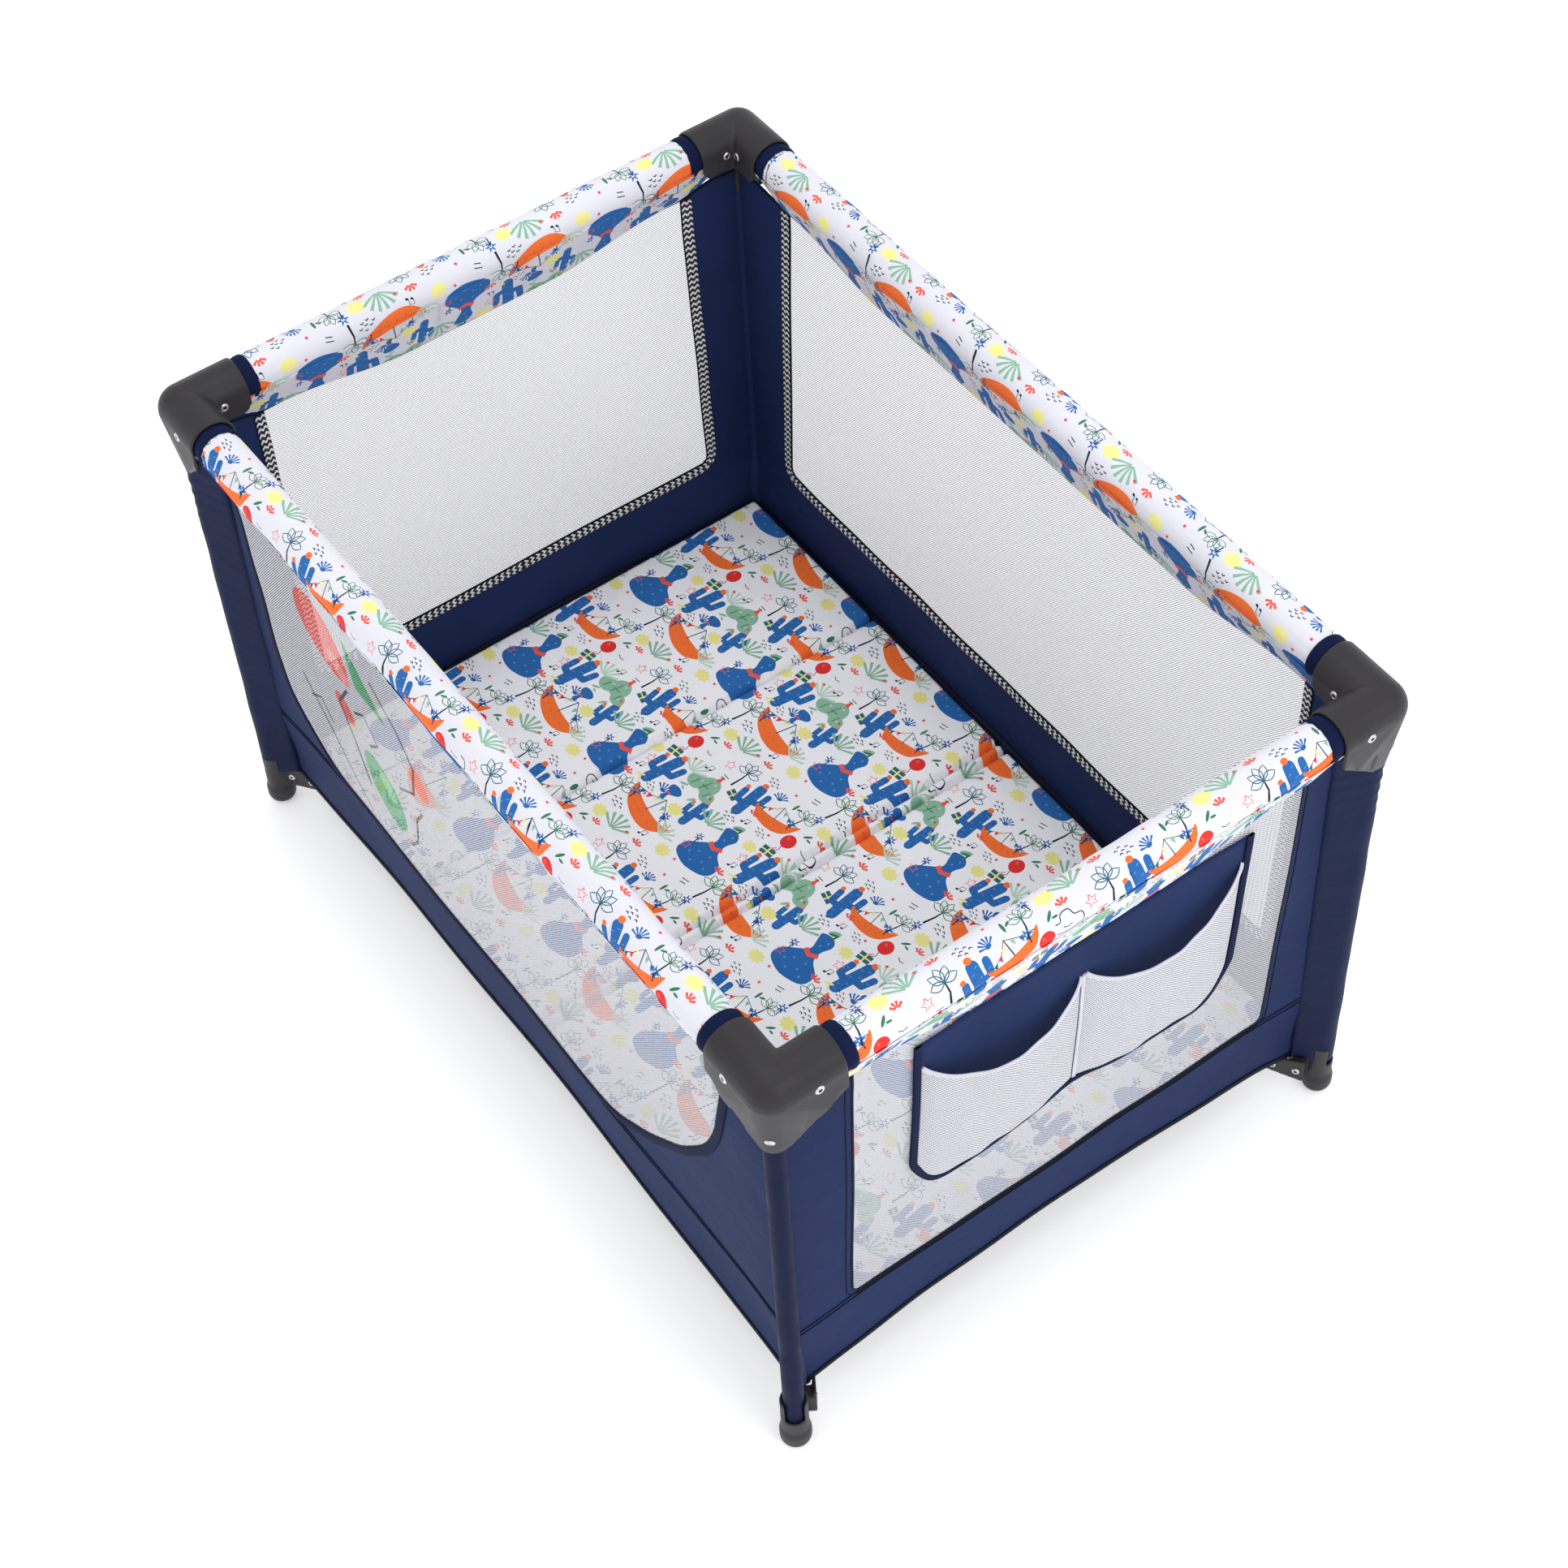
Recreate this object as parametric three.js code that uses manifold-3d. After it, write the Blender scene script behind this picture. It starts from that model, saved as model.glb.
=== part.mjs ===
// Folding playpen: four legs joined at the top by folding rails and at the bottom by
// folding floor arms, with fabric walls, a four-panel mattress and a hanging organizer.
// Millimetres, +Z up, origin on the floor at the centre of the four feet.
import * as THREE from 'three';
import Module from 'manifold-3d';
import { ConvexGeometry } from 'three/addons/geometries/ConvexGeometry.js';
import { mergeVertices } from 'three/addons/utils/BufferGeometryUtils.js';

const wasm = await Module();
wasm.setup();

// ---- driving dimensions ----
const LEG_X = 590; // leg axis from the centre, along the long side
const LEG_Y = 398; // leg axis from the centre, along the short side
const RAIL_Z = 735; // axis of the top rails
const LEG_RADIUS = 12.5;
const RAIL_RADIUS = 11;
const ARM_RADIUS = 9.5;
const TUBE_WALL = 1.4;
const PAD_RADIUS = 24;

// ---- pivots: the same sum on both ends keeps the fold a true parallelogram ----
const RAIL_PIVOT = 38; // rail pivot from the leg axis
const LATCH_PIVOT = 35; // latch pivot from the middle of the side
const FOOT_PIVOT = 38; // floor arm pivot from the leg axis, along both X and Y
const HUB_PIVOT = RAIL_PIVOT + LATCH_PIVOT - FOOT_PIVOT;
const ARM_Z = 48; // axis of the floor arms
const TUBE_STUB = 10; // tube left beyond each pivot
const PIN_RADIUS = 3.2;
const PIN_HOLE = 3.9;
const SEGMENTS = 16;
const LEG_SEGMENTS = 28;

// ---- corner cap ----
const CAP_RADIUS = 30;
const CAP_ARM = 74; // cap arm end from the leg axis
const CAP_CHANNEL = 26.5; // half width of the hollow that a rail folds down through
const CAP_BOTTOM = 642;
const CAP_TIP_RADIUS = 17;
const CAP_BLOCK = 19; // half width of the solid block around the leg
const CAP_INNER_EDGE = 710; // lower edge of the cap's inner cheeks
const SOCKET_RADIUS = 12.9;
const LEG_TOP = 715;

// ---- feet and hub ----
const FOOT_TOP = 36;
const CHEEK_GAP = 10.3; // half the slot that an arm turns in
const CHEEK_THICKNESS = 4.5;
const HUB_HALF = 52;
const HUB_BOTTOM = 34;
const HUB_TOP = 68;

// ---- fabric ----
const WALL_TOP = 704;
const WALL_BOTTOM = 66;
const WALL_TOP_INSET = 8; // wall behind the leg axis, at its top and at its bottom
const WALL_BOTTOM_INSET = 26;
const WALL_HALF_THICKNESS = 1.5;
const HEM_RISE = 34;
const MATTRESS_X = 560;
const MATTRESS_Y = 368;
const MATTRESS_BOTTOM = 82;
const MATTRESS_TOP = 104;
const CREASE_HALF = 8; // half width of the band down the middle of the mattress
const GAP = 0.3;

// ---- materials ----
const material = (color, roughness, metalness = 0) =>
  new THREE.MeshStandardMaterial({ color, roughness, metalness });
const charcoalPlastic = material(0x4b494c, 0.55);
const navyPaint = material(0x2b3058, 0.35, 0.3);
const greySteel = material(0x8b8d90, 0.35, 0.8);
const printedFabric = material(0xe8e8f2, 0.9);
const navyFabric = material(0x262c54, 0.85);
const meshFabric = material(0xe3e3e6, 0.9);
const blackRubber = material(0x242426, 0.8);

// ---- solid helpers ----
function weld(geometry) {
  const bare = geometry.clone();
  bare.deleteAttribute('normal');
  bare.deleteAttribute('uv');
  return mergeVertices(bare, 1e-4);
}

function toManifold(geometry) {
  const welded = weld(geometry);
  return new wasm.Manifold(new wasm.Mesh({
    numProp: 3,
    vertProperties: new Float32Array(welded.attributes.position.array),
    triVerts: new Uint32Array(welded.index.array),
  }));
}

function fromManifold(manifold) {
  const mesh = manifold.getMesh();
  const geometry = new THREE.BufferGeometry();
  geometry.setAttribute('position', new THREE.BufferAttribute(mesh.vertProperties, 3));
  geometry.setIndex(new THREE.BufferAttribute(mesh.triVerts, 1));
  return geometry;
}

function build(added, removed = []) {
  let body = toManifold(added[0]);
  for (const piece of added.slice(1)) body = body.add(toManifold(piece));
  for (const tool of removed) body = body.subtract(toManifold(tool));
  return fromManifold(body);
}

function flipped(geometry) {
  const index = geometry.index.array;
  for (let i = 0; i < index.length; i += 3) {
    [index[i], index[i + 1]] = [index[i + 1], index[i]];
  }
  return geometry;
}

function mirrored(geometry, flipX, flipY) {
  const copy = geometry.clone();
  copy.scale(flipX, flipY, 1);
  return flipX * flipY > 0 ? copy : flipped(copy);
}

function block(low, high) {
  const size = high.map((value, i) => value - low[i]);
  const centre = high.map((value, i) => (value + low[i]) / 2);
  return new THREE.BoxGeometry(...size).translate(...centre);
}

// A geometry made along +Z from 0, laid from one point to another.
function along(geometry, from, to) {
  const start = new THREE.Vector3(...from);
  const direction = new THREE.Vector3(...to).sub(start).normalize();
  const turn = new THREE.Quaternion().setFromUnitVectors(new THREE.Vector3(0, 0, 1), direction);
  return geometry.applyQuaternion(turn).translate(start.x, start.y, start.z);
}

const distance = (from, to) => Math.hypot(...to.map((value, i) => value - from[i]));

function rod(from, to, radius, segments = SEGMENTS) {
  const length = distance(from, to);
  const geometry = new THREE.CylinderGeometry(radius, radius, length, segments);
  return along(geometry.rotateX(Math.PI / 2).translate(0, 0, length / 2), from, to);
}

function turned(profile, segments = SEGMENTS) {
  const points = profile.map(([radius, height]) => new THREE.Vector2(radius, height));
  return new THREE.LatheGeometry(points, segments).rotateX(Math.PI / 2);
}

function tube(from, to, outer, inner, segments = SEGMENTS) {
  const length = distance(from, to);
  const profile = [[inner, 0], [outer, 0], [outer, length], [inner, length], [inner, 0]];
  return along(turned(profile, segments), from, to);
}

// A ring of points of one radius around the X, Y or Z axis through a centre.
function ring(axis, centre, radius, count = SEGMENTS) {
  return Array.from({ length: count }, (_, i) => {
    const angle = (2 * Math.PI * i) / count;
    const offset = [radius * Math.cos(angle), radius * Math.sin(angle)];
    const point = new THREE.Vector3(...centre);
    const [u, v] = ['xyz'.replace(axis, '')[0], 'xyz'.replace(axis, '')[1]];
    point[u] += offset[0];
    point[v] += offset[1];
    return point;
  });
}

const hull = (points) => new ConvexGeometry(points);

// The same solid with its X and Y swapped, for the other side of a corner.
function swapXY(geometry) {
  const [x, y, z] = [[1, 0, 0], [0, 1, 0], [0, 0, 1]].map((axis) => new THREE.Vector3(...axis));
  return flipped(weld(geometry.clone().applyMatrix4(new THREE.Matrix4().makeBasis(y, x, z))));
}

// ---- corner pieces, drawn with the leg axis at the origin and inward along +X and +Y ----
function capArmX() {
  const ball = new THREE.SphereGeometry(CAP_RADIUS, SEGMENTS, 8);
  const points = [];
  for (let i = 0; i < ball.attributes.position.count; i += 1) {
    const point = new THREE.Vector3().fromBufferAttribute(ball.attributes.position, i);
    points.push(point.add(new THREE.Vector3(0, 0, RAIL_Z)));
  }
  return hull([...points, ...ring('x', [CAP_ARM, 0, RAIL_Z], CAP_RADIUS)]);
}

function capSkirtX() {
  const half = CAP_RADIUS - 0.4;
  const corners = [[CAP_ARM, RAIL_Z], [CAP_ARM, RAIL_Z - 14], [CAP_ARM - 24, RAIL_Z - 45]];
  return hull([
    ...ring('z', [0, 0, RAIL_Z - 4], half),
    ...ring('z', [0, 0, CAP_BOTTOM], CAP_TIP_RADIUS),
    ...corners.flatMap(([x, z]) => [-half, half].map((y) => new THREE.Vector3(x, y, z))),
  ]);
}

function capChannelX() {
  const reach = CAP_ARM + 20;
  const arch = [CAP_BLOCK, reach].flatMap((x) => ring('x', [x, 0, RAIL_Z], CAP_CHANNEL));
  const floor = [CAP_BLOCK, reach].flatMap((x) =>
    [-CAP_CHANNEL, CAP_CHANNEL].map((y) => new THREE.Vector3(x, y, CAP_BOTTOM - 20)));
  return hull([...arch, ...floor]);
}

function capPinX() {
  const reach = CAP_RADIUS - 1;
  const head = reach + 2.5;
  return [
    rod([RAIL_PIVOT, -reach, RAIL_Z], [RAIL_PIVOT, reach, RAIL_Z], PIN_RADIUS, 8),
    rod([RAIL_PIVOT, -head, RAIL_Z], [RAIL_PIVOT, -reach + 1.5, RAIL_Z], 7, 10),
    rod([RAIL_PIVOT, reach - 1.5, RAIL_Z], [RAIL_PIVOT, head, RAIL_Z], 7, 10),
  ];
}

function cornerCap() {
  const innerCheekX = block([CAP_BLOCK, 12, 0], [CAP_ARM + 20, 90, CAP_INNER_EDGE]);
  const shell = build(
    [capArmX(), swapXY(capArmX()), capSkirtX(), swapXY(capSkirtX())],
    [
      capChannelX(), swapXY(capChannelX()), innerCheekX, swapXY(innerCheekX),
      rod([0, 0, CAP_BOTTOM - 10], [0, 0, LEG_TOP + 1], SOCKET_RADIUS),
    ],
  );
  const rivetOut = 17.5; // along X and Y, from the leg axis to the low rivet's face
  const rivet = rod([-11, -11, 671], [-rivetOut, -rivetOut, 668], 6, 10);
  return build([shell, ...capPinX(), ...capPinX().map(swapXY), rivet]);
}

// The floor arm's direction, from a foot towards the hub.
const armRun = new THREE.Vector2(LEG_X - RAIL_PIVOT - LATCH_PIVOT, LEG_Y - RAIL_PIVOT - LATCH_PIVOT);
const armLength = armRun.length();
const armDir = armRun.clone().normalize();

// A point from a pivot: so far along the arm, so far to its side, at a height.
const armPoint = (pivot, run, side, z) => [
  pivot + armDir.x * run - armDir.y * side,
  pivot + armDir.y * run + armDir.x * side,
  z,
];

function armBlock(pivot, runs, sides, heights) {
  return hull(runs.flatMap((run) => sides.flatMap((side) => heights.map((z) =>
    new THREE.Vector3(...armPoint(pivot, run, side, z))))));
}

function armPin(pivot, halfLength) {
  return rod(
    armPoint(pivot, 0, -halfLength, ARM_Z), armPoint(pivot, 0, halfLength, ARM_Z), PIN_RADIUS, 8,
  );
}

function footBracket() {
  const bulb = turned([[0, 0], [14, 0], [17.5, 3], [19, 9], [19, 26], [17, 34], [16.5, FOOT_TOP + 2], [0, FOOT_TOP + 2]]);
  const sleeve = rod([0, 0, FOOT_TOP], [0, 0, 92], 16.5);
  const cheekOut = CHEEK_GAP + CHEEK_THICKNESS;
  const cheeks = [-1, 1].map((side) => hull([
    ...[CHEEK_GAP, cheekOut].flatMap((offset) => [
      ...Array.from({ length: 9 }, (_, i) => {
        const angle = -Math.PI / 2 + (Math.PI * i) / 8;
        const run = 14 * Math.cos(angle);
        return new THREE.Vector3(
          ...armPoint(FOOT_PIVOT, run, side * offset, ARM_Z + 14 * Math.sin(angle)));
      }),
      new THREE.Vector3(...armPoint(FOOT_PIVOT, -38, side * offset, 30)),
      new THREE.Vector3(...armPoint(FOOT_PIVOT, -38, side * offset, 70)),
    ]),
  ]));
  const bridge = armBlock(FOOT_PIVOT, [-40, -22], [-cheekOut, cheekOut], [30, 66]);
  const head = CHEEK_GAP + CHEEK_THICKNESS + 1.5;
  const heads = [-1, 1].map((side) => rod(
    armPoint(FOOT_PIVOT, 0, side * (CHEEK_GAP + 1), ARM_Z),
    armPoint(FOOT_PIVOT, 0, side * head, ARM_Z), 6, 10));
  return build(
    [build([bulb, sleeve, ...cheeks, bridge],
      [rod([0, 0, FOOT_TOP], [0, 0, 110], SOCKET_RADIUS)]),
    armPin(FOOT_PIVOT, CHEEK_GAP + 2), ...heads],
  );
}

function crossDrilled(from, to, outer, holes, holeAxis) {
  const tools = holes.map((centre) => {
    const reach = holeAxis.map((value) => value * (outer + 5));
    return rod(
      centre.map((value, i) => value - reach[i]), centre.map((value, i) => value + reach[i]),
      PIN_HOLE, 8,
    );
  });
  return build([tube(from, to, outer, outer - TUBE_WALL)], tools);
}

function floorArm() {
  const from = armPoint(FOOT_PIVOT, -TUBE_STUB, 0, ARM_Z);
  const to = armPoint(FOOT_PIVOT, armLength + TUBE_STUB, 0, ARM_Z);
  const pivots = [0, armLength].map((run) => armPoint(FOOT_PIVOT, run, 0, ARM_Z));
  return crossDrilled(from, to, ARM_RADIUS, pivots, [-armDir.y, armDir.x, 0]);
}

// Half rails run from the cap pivot to the latch pivot, along +X or +Y.
function halfRail(legToMiddle, alongX) {
  const place = (run) => (alongX ? [run, 0, RAIL_Z] : [0, run, RAIL_Z]);
  const ends = [RAIL_PIVOT, legToMiddle - LATCH_PIVOT];
  return crossDrilled(
    place(ends[0] - TUBE_STUB), place(ends[1] + TUBE_STUB), RAIL_RADIUS,
    ends.map(place), alongX ? [0, 1, 0] : [1, 0, 0],
  );
}

function railPad(legToMiddle, alongX) {
  const place = (run) => (alongX ? [run, 0, RAIL_Z] : [0, run, RAIL_Z]);
  const start = CAP_ARM + 12;
  const end = legToMiddle - LATCH_PIVOT - PAD_RADIUS - 3;
  return weld(tube(place(start), place(end), PAD_RADIUS, RAIL_RADIUS + 0.4));
}

// Half a wall: a flat sloping sheet from near the leg to the middle of its side, with an
// arched hem. Its start is kept clear of the wall that it meets at the corner.
function halfWall(legToMiddle, start, alongX) {
  const hemSteps = 6;
  const end = legToMiddle - GAP;
  const outline = [[start, WALL_TOP], [end, WALL_TOP]];
  for (let i = 0; i <= hemSteps; i += 1) {
    const share = i / hemSteps;
    const run = end + (start - end) * share;
    outline.push([run, WALL_BOTTOM + HEM_RISE * (1 - share * share)]);
  }
  const slope = (WALL_BOTTOM_INSET - WALL_TOP_INSET) / (WALL_TOP - WALL_BOTTOM);
  const shape = new THREE.Shape(outline.map(([run, z]) => new THREE.Vector2(run, z)));
  const sheet = new THREE.ExtrudeGeometry(shape, { depth: 2 * WALL_HALF_THICKNESS, bevelEnabled: false });
  const position = sheet.attributes.position;
  for (let i = 0; i < position.count; i += 1) {
    const [run, z, depth] = [position.getX(i), position.getY(i), position.getZ(i)];
    const inset = WALL_TOP_INSET + (WALL_TOP - z) * slope + WALL_HALF_THICKNESS - depth;
    if (alongX) position.setXYZ(i, run, inset, z);
    else position.setXYZ(i, inset, run, z);
  }
  const welded = weld(sheet);
  return alongX ? welded : flipped(welded);
}

// ---- pieces on a side's middle, drawn about the middle with the rail along X ----
function latchHousing() {
  const round = PAD_RADIUS;
  const half = 20.5;
  const side = (y) => [-1, 1].flatMap((end) => ring('y', [end * LATCH_PIVOT, y, RAIL_Z], round, 20));
  const shell = hull([...side(-half), ...side(half)]);
  const slots = [-1, 1].map((end) => block(
    [Math.min(end * 19, end * 90), -11.8, RAIL_Z - 15.5],
    [Math.max(end * 19, end * 90), 11.8, RAIL_Z + 60]));
  const buttonWell = rod([0, 0, RAIL_Z - 60], [0, 0, RAIL_Z + 8], 9.2);
  const pins = [-1, 1].map((end) => rod(
    [end * LATCH_PIVOT, -half + 1, RAIL_Z], [end * LATCH_PIVOT, half - 1, RAIL_Z], PIN_RADIUS, 8));
  return build([build([shell], [...slots, buttonWell]), ...pins]);
}

const latchButton = () => weld(turned([
  [0, RAIL_Z - 28.5], [6.5, RAIL_Z - 28.5], [8.6, RAIL_Z - 26.5], [8.6, RAIL_Z - 4], [0, RAIL_Z - 4],
]));

function hubBody() {
  const plate = block([-HUB_HALF, -HUB_HALF, HUB_BOTTOM], [HUB_HALF, HUB_HALF, HUB_TOP]);
  const slots = [];
  const pins = [];
  for (const flipX of [-1, 1]) {
    for (const flipY of [-1, 1]) {
      const place = (geometry) => mirrored(weld(geometry), flipX, flipY);
      slots.push(place(armBlock(
        HUB_PIVOT, [-15, 90], [-CHEEK_GAP, CHEEK_GAP], [HUB_BOTTOM - 20, ARM_Z + 15])));
      pins.push(place(armPin(HUB_PIVOT, CHEEK_GAP + 4)));
    }
  }
  const bevel = 24;
  const cornerCuts = [];
  for (const x of [-1, 1]) {
    for (const y of [-1, 1]) {
      const far = HUB_HALF + 1;
      cornerCuts.push(hull([HUB_BOTTOM - 1, HUB_TOP + 1].flatMap((z) => [
        new THREE.Vector3(x * far, y * (HUB_HALF - bevel), z),
        new THREE.Vector3(x * (HUB_HALF - bevel), y * far, z),
        new THREE.Vector3(x * far, y * far, z),
      ])));
    }
  }
  return build([build([plate], [...slots, ...cornerCuts]), ...pins]);
}

function hubHandle() {
  const outer = block([-30, -9, HUB_TOP + GAP], [30, 9, HUB_TOP + 12]);
  const finger = block([-20, -20, HUB_TOP + 3], [20, 20, HUB_TOP + 8.5]);
  return build([outer], [finger]);
}

function mattressPanel(low, high) {
  return weld(block([low, -MATTRESS_Y, MATTRESS_BOTTOM], [high, MATTRESS_Y, MATTRESS_TOP]));
}

// ---- organizer, drawn from the right side's middle with outward along +X ----
const ORGANIZER = { half: 222, top: 640, bottom: 350, back: -6.5, thickness: 3 };
const POCKET = { top: 575, bottom: 358, depth: 31, wall: 2.2, inner: 4, outer: 214 };

function organizerPocket(flip) {
  const back = ORGANIZER.back + ORGANIZER.thickness + GAP;
  const ys = [flip * POCKET.inner, flip * POCKET.outer].sort((a, b) => a - b);
  const shell = block([back, ys[0], POCKET.bottom], [back + POCKET.depth, ys[1], POCKET.top]);
  const hollow = block(
    [back + POCKET.wall, ys[0] + POCKET.wall, POCKET.bottom + POCKET.wall],
    [back + POCKET.depth - POCKET.wall, ys[1] - POCKET.wall, POCKET.top + 10],
  );
  return build([shell], [hollow]);
}

// ---- scene ----
const playpen = new THREE.Group();

function add(group, name, geometry, look) {
  const mesh = new THREE.Mesh(geometry, look);
  mesh.name = name;
  group.add(mesh);
}

const cornerShapes = {
  leg: [weld(tube(
    [0, 0, FOOT_TOP + 0.5], [0, 0, LEG_TOP], LEG_RADIUS, LEG_RADIUS - TUBE_WALL, LEG_SEGMENTS,
  )), navyPaint],
  corner_cap: [cornerCap(), charcoalPlastic],
  foot_bracket: [footBracket(), charcoalPlastic],
  floor_arm: [floorArm(), greySteel],
  long_rail: [halfRail(LEG_X, true), greySteel],
  short_rail: [halfRail(LEG_Y, false), greySteel],
  long_pad: [railPad(LEG_X, true), printedFabric],
  short_pad: [railPad(LEG_Y, false), printedFabric],
  long_wall: [halfWall(LEG_X, 29, true), meshFabric],
  short_wall: [halfWall(LEG_Y, 20, false), meshFabric],
};

for (const [end, signY] of [['front', -1], ['rear', 1]]) {
  for (const [side, signX] of [['left', -1], ['right', 1]]) {
    const corner = new THREE.Group();
    corner.position.set(signX * LEG_X, signY * LEG_Y, 0);
    for (const [name, [geometry, look]] of Object.entries(cornerShapes)) {
      add(corner, `${name}_${end}_${side}`, mirrored(geometry, -signX, -signY), look);
    }
    playpen.add(corner);
  }
}

const sides = [
  ['front', 0, -LEG_Y, 0], ['rear', 0, LEG_Y, 0],
  ['left', -LEG_X, 0, Math.PI / 2], ['right', LEG_X, 0, Math.PI / 2],
];
for (const [name, x, y, turn] of sides) {
  const middle = new THREE.Group();
  middle.position.set(x, y, 0);
  middle.rotation.z = turn;
  add(middle, `latch_${name}`, latchHousing(), charcoalPlastic);
  add(middle, `latch_button_${name}`, latchButton(), charcoalPlastic);
  playpen.add(middle);
}

const hub = new THREE.Group();
add(hub, 'hub', hubBody(), charcoalPlastic);
add(hub, 'hub_handle', hubHandle(), navyFabric);
add(hub, 'hub_foot', weld(rod([0, 0, 0], [0, 0, HUB_BOTTOM - GAP], 17)), blackRubber);
playpen.add(hub);

const mattress = new THREE.Group();
const panelWidth = (MATTRESS_X - CREASE_HALF) / 2;
const creaseGap = 0.6;
add(mattress, 'mattress_band', mattressPanel(-CREASE_HALF, CREASE_HALF), printedFabric);
for (const [name, flip] of [['left', -1], ['right', 1]]) {
  const edges = [CREASE_HALF + creaseGap, CREASE_HALF + panelWidth, CREASE_HALF + panelWidth + creaseGap, MATTRESS_X];
  const panel = (a, b) => mattressPanel(Math.min(flip * a, flip * b), Math.max(flip * a, flip * b));
  add(mattress, `mattress_inner_${name}`, panel(edges[0], edges[1]), printedFabric);
  add(mattress, `mattress_outer_${name}`, panel(edges[2], edges[3]), printedFabric);
}
playpen.add(mattress);

const organizer = new THREE.Group();
organizer.position.set(LEG_X, 0, 0);
add(organizer, 'organizer_back', weld(block(
  [ORGANIZER.back, -ORGANIZER.half, ORGANIZER.bottom],
  [ORGANIZER.back + ORGANIZER.thickness, ORGANIZER.half, ORGANIZER.top])), navyFabric);
add(organizer, 'organizer_pocket_front', organizerPocket(-1), meshFabric);
add(organizer, 'organizer_pocket_rear', organizerPocket(1), meshFabric);
playpen.add(organizer);

export default playpen;
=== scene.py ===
"""Looks of a folding playpen: printed padded rails over netting walls, a four-panel
mattress, moulded corner caps and feet, and a hanging organizer. Metres, +Z up."""

import math

import bmesh
import bpy
import numpy as np
from mathutils import Matrix, Vector
from mathutils.geometry import delaunay_2d_cdt


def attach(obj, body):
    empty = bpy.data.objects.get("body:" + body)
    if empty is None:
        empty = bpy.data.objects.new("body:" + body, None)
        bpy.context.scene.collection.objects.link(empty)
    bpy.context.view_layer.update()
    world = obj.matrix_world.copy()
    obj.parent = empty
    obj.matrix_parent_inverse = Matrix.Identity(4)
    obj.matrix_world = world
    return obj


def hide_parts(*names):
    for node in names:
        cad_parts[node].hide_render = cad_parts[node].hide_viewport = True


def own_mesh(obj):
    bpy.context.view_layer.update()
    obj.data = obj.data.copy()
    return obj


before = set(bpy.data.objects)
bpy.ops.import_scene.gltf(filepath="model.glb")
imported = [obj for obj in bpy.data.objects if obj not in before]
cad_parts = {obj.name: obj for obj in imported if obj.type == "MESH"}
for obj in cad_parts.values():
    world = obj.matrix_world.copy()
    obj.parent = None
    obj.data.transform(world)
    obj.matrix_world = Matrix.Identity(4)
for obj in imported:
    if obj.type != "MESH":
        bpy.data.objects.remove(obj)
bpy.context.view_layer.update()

# ---- dimensions shared with the CAD ----
LEG_X, LEG_Y = 0.590, 0.398
RAIL_Z = 0.735
LEG_RADIUS = 0.0125
LEG_SOCKET = 0.0131  # radius of the hollow for a leg in its cap and foot
RAIL_HOLE = 0.0125  # radius of the hollow for a rail in its cover's bound end
RAIL_PIVOT = 0.038
FOOT_PIVOT = 0.038
LATCH_PIVOT = 0.035
CAP_ARM = 0.074
CAP_RADIUS = 0.030
CAP_BORE = 0.0265  # half width of the channel inside a cap's arm
CAP_CHEEK = 0.0296  # from the rail's axis to where a rivet sits on an arm
CAP_BOTTOM = 0.642
ARM_Z = 0.048
MATTRESS_X, MATTRESS_Y = 0.560, 0.368
MATTRESS_LOW, MATTRESS_TOP = 0.0825, 0.104
CREASE = 0.008
PANEL_SPLIT = (MATTRESS_X + CREASE) / 2

# ---- fabric dimensions ----
CLOTH = 0.0008  # thickness of one layer
ROLL_RADIUS = 0.0262
ROLL_START = 0.088  # from the leg axis
ROLL_SPLIT = math.pi - 0.25  # angle from the top at which a roll's cloth ends, between its skirts
SLEEVE_HALF = 0.062  # half length of the middle sleeve over each latch
# A cover's bound end: distance from the leg axis, and how far it stands past the roll.
BINDING = ((0.0680, -0.0022), (0.0700, -0.0006), (0.0745, -0.0003), (0.0800, 0.0010),
           (0.0845, 0.0012), (0.0875, 0.0008), (0.0895, -0.0008))
SKIRT_START = 0.046  # from the leg axis: the skirt goes on under the cap
SKIRT_SEAM = 0.0014  # from the side's plane, at a skirt's lower edge
SKIRT_CLEAR = 0.0006  # a skirt's own half thickness and a little more
SKIRT_LAP = 0.004  # how far a wall goes on up behind its skirt
TANGENT = 1.84  # angle from a roll's top at which its skirts leave it
BORDER_Z = 0.650  # where the printed skirt meets the wall, at the middle of a side
BORDER_RISE = ((0.30, 0.12, 0.022), (0.10, 0.03, 0.018))  # far and near from the leg, and its rise there
WALL_LOW, HEM_RISE = 0.062, 0.036
WALL_INSET = 0.022  # at the foot, at the middle of a side
WALL_STEP = 0.013  # between a wall's mesh points
CORNER_INSET, FOOT_INSET = 0.0136, 0.0215  # at a leg, and lower down around its foot
FOOT_TOP = (0.095, 0.19)  # heights between which one becomes the other
BAND_TOP = {"front": 0.208, "rear": 0.212, "left": 0.212, "right": 0.203}
SLEEVE_ENDS = (0.066, 0.672)
WELT_ENDS = (0.070, 0.655)
RIM, FOLD = 0.004, 0.009  # how far the mattress pad rounds over at its edges and creases
RIM_BAND = 0.003  # the dark edge of the pad: a navy edge, and painted shade where the pad rounds down
APRON_GAP, APRON_LIFT = 0.0007, 0.004  # from the dark base cloth's edge to a wall, and over its hem
ORG_HALF, ORG_TOP = 0.222, 0.652
ORG_CLOTH = 0.0011  # thickness of the organizer's back
POCKET_NEAR, POCKET_FAR = 0.003, 0.216  # a pocket's ends, from the middle of the organizer
POCKET_INNER, POCKET_OUTER = 0.582, 0.606  # heights of its mouth there
FLOOR_HALF = 14.0

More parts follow.
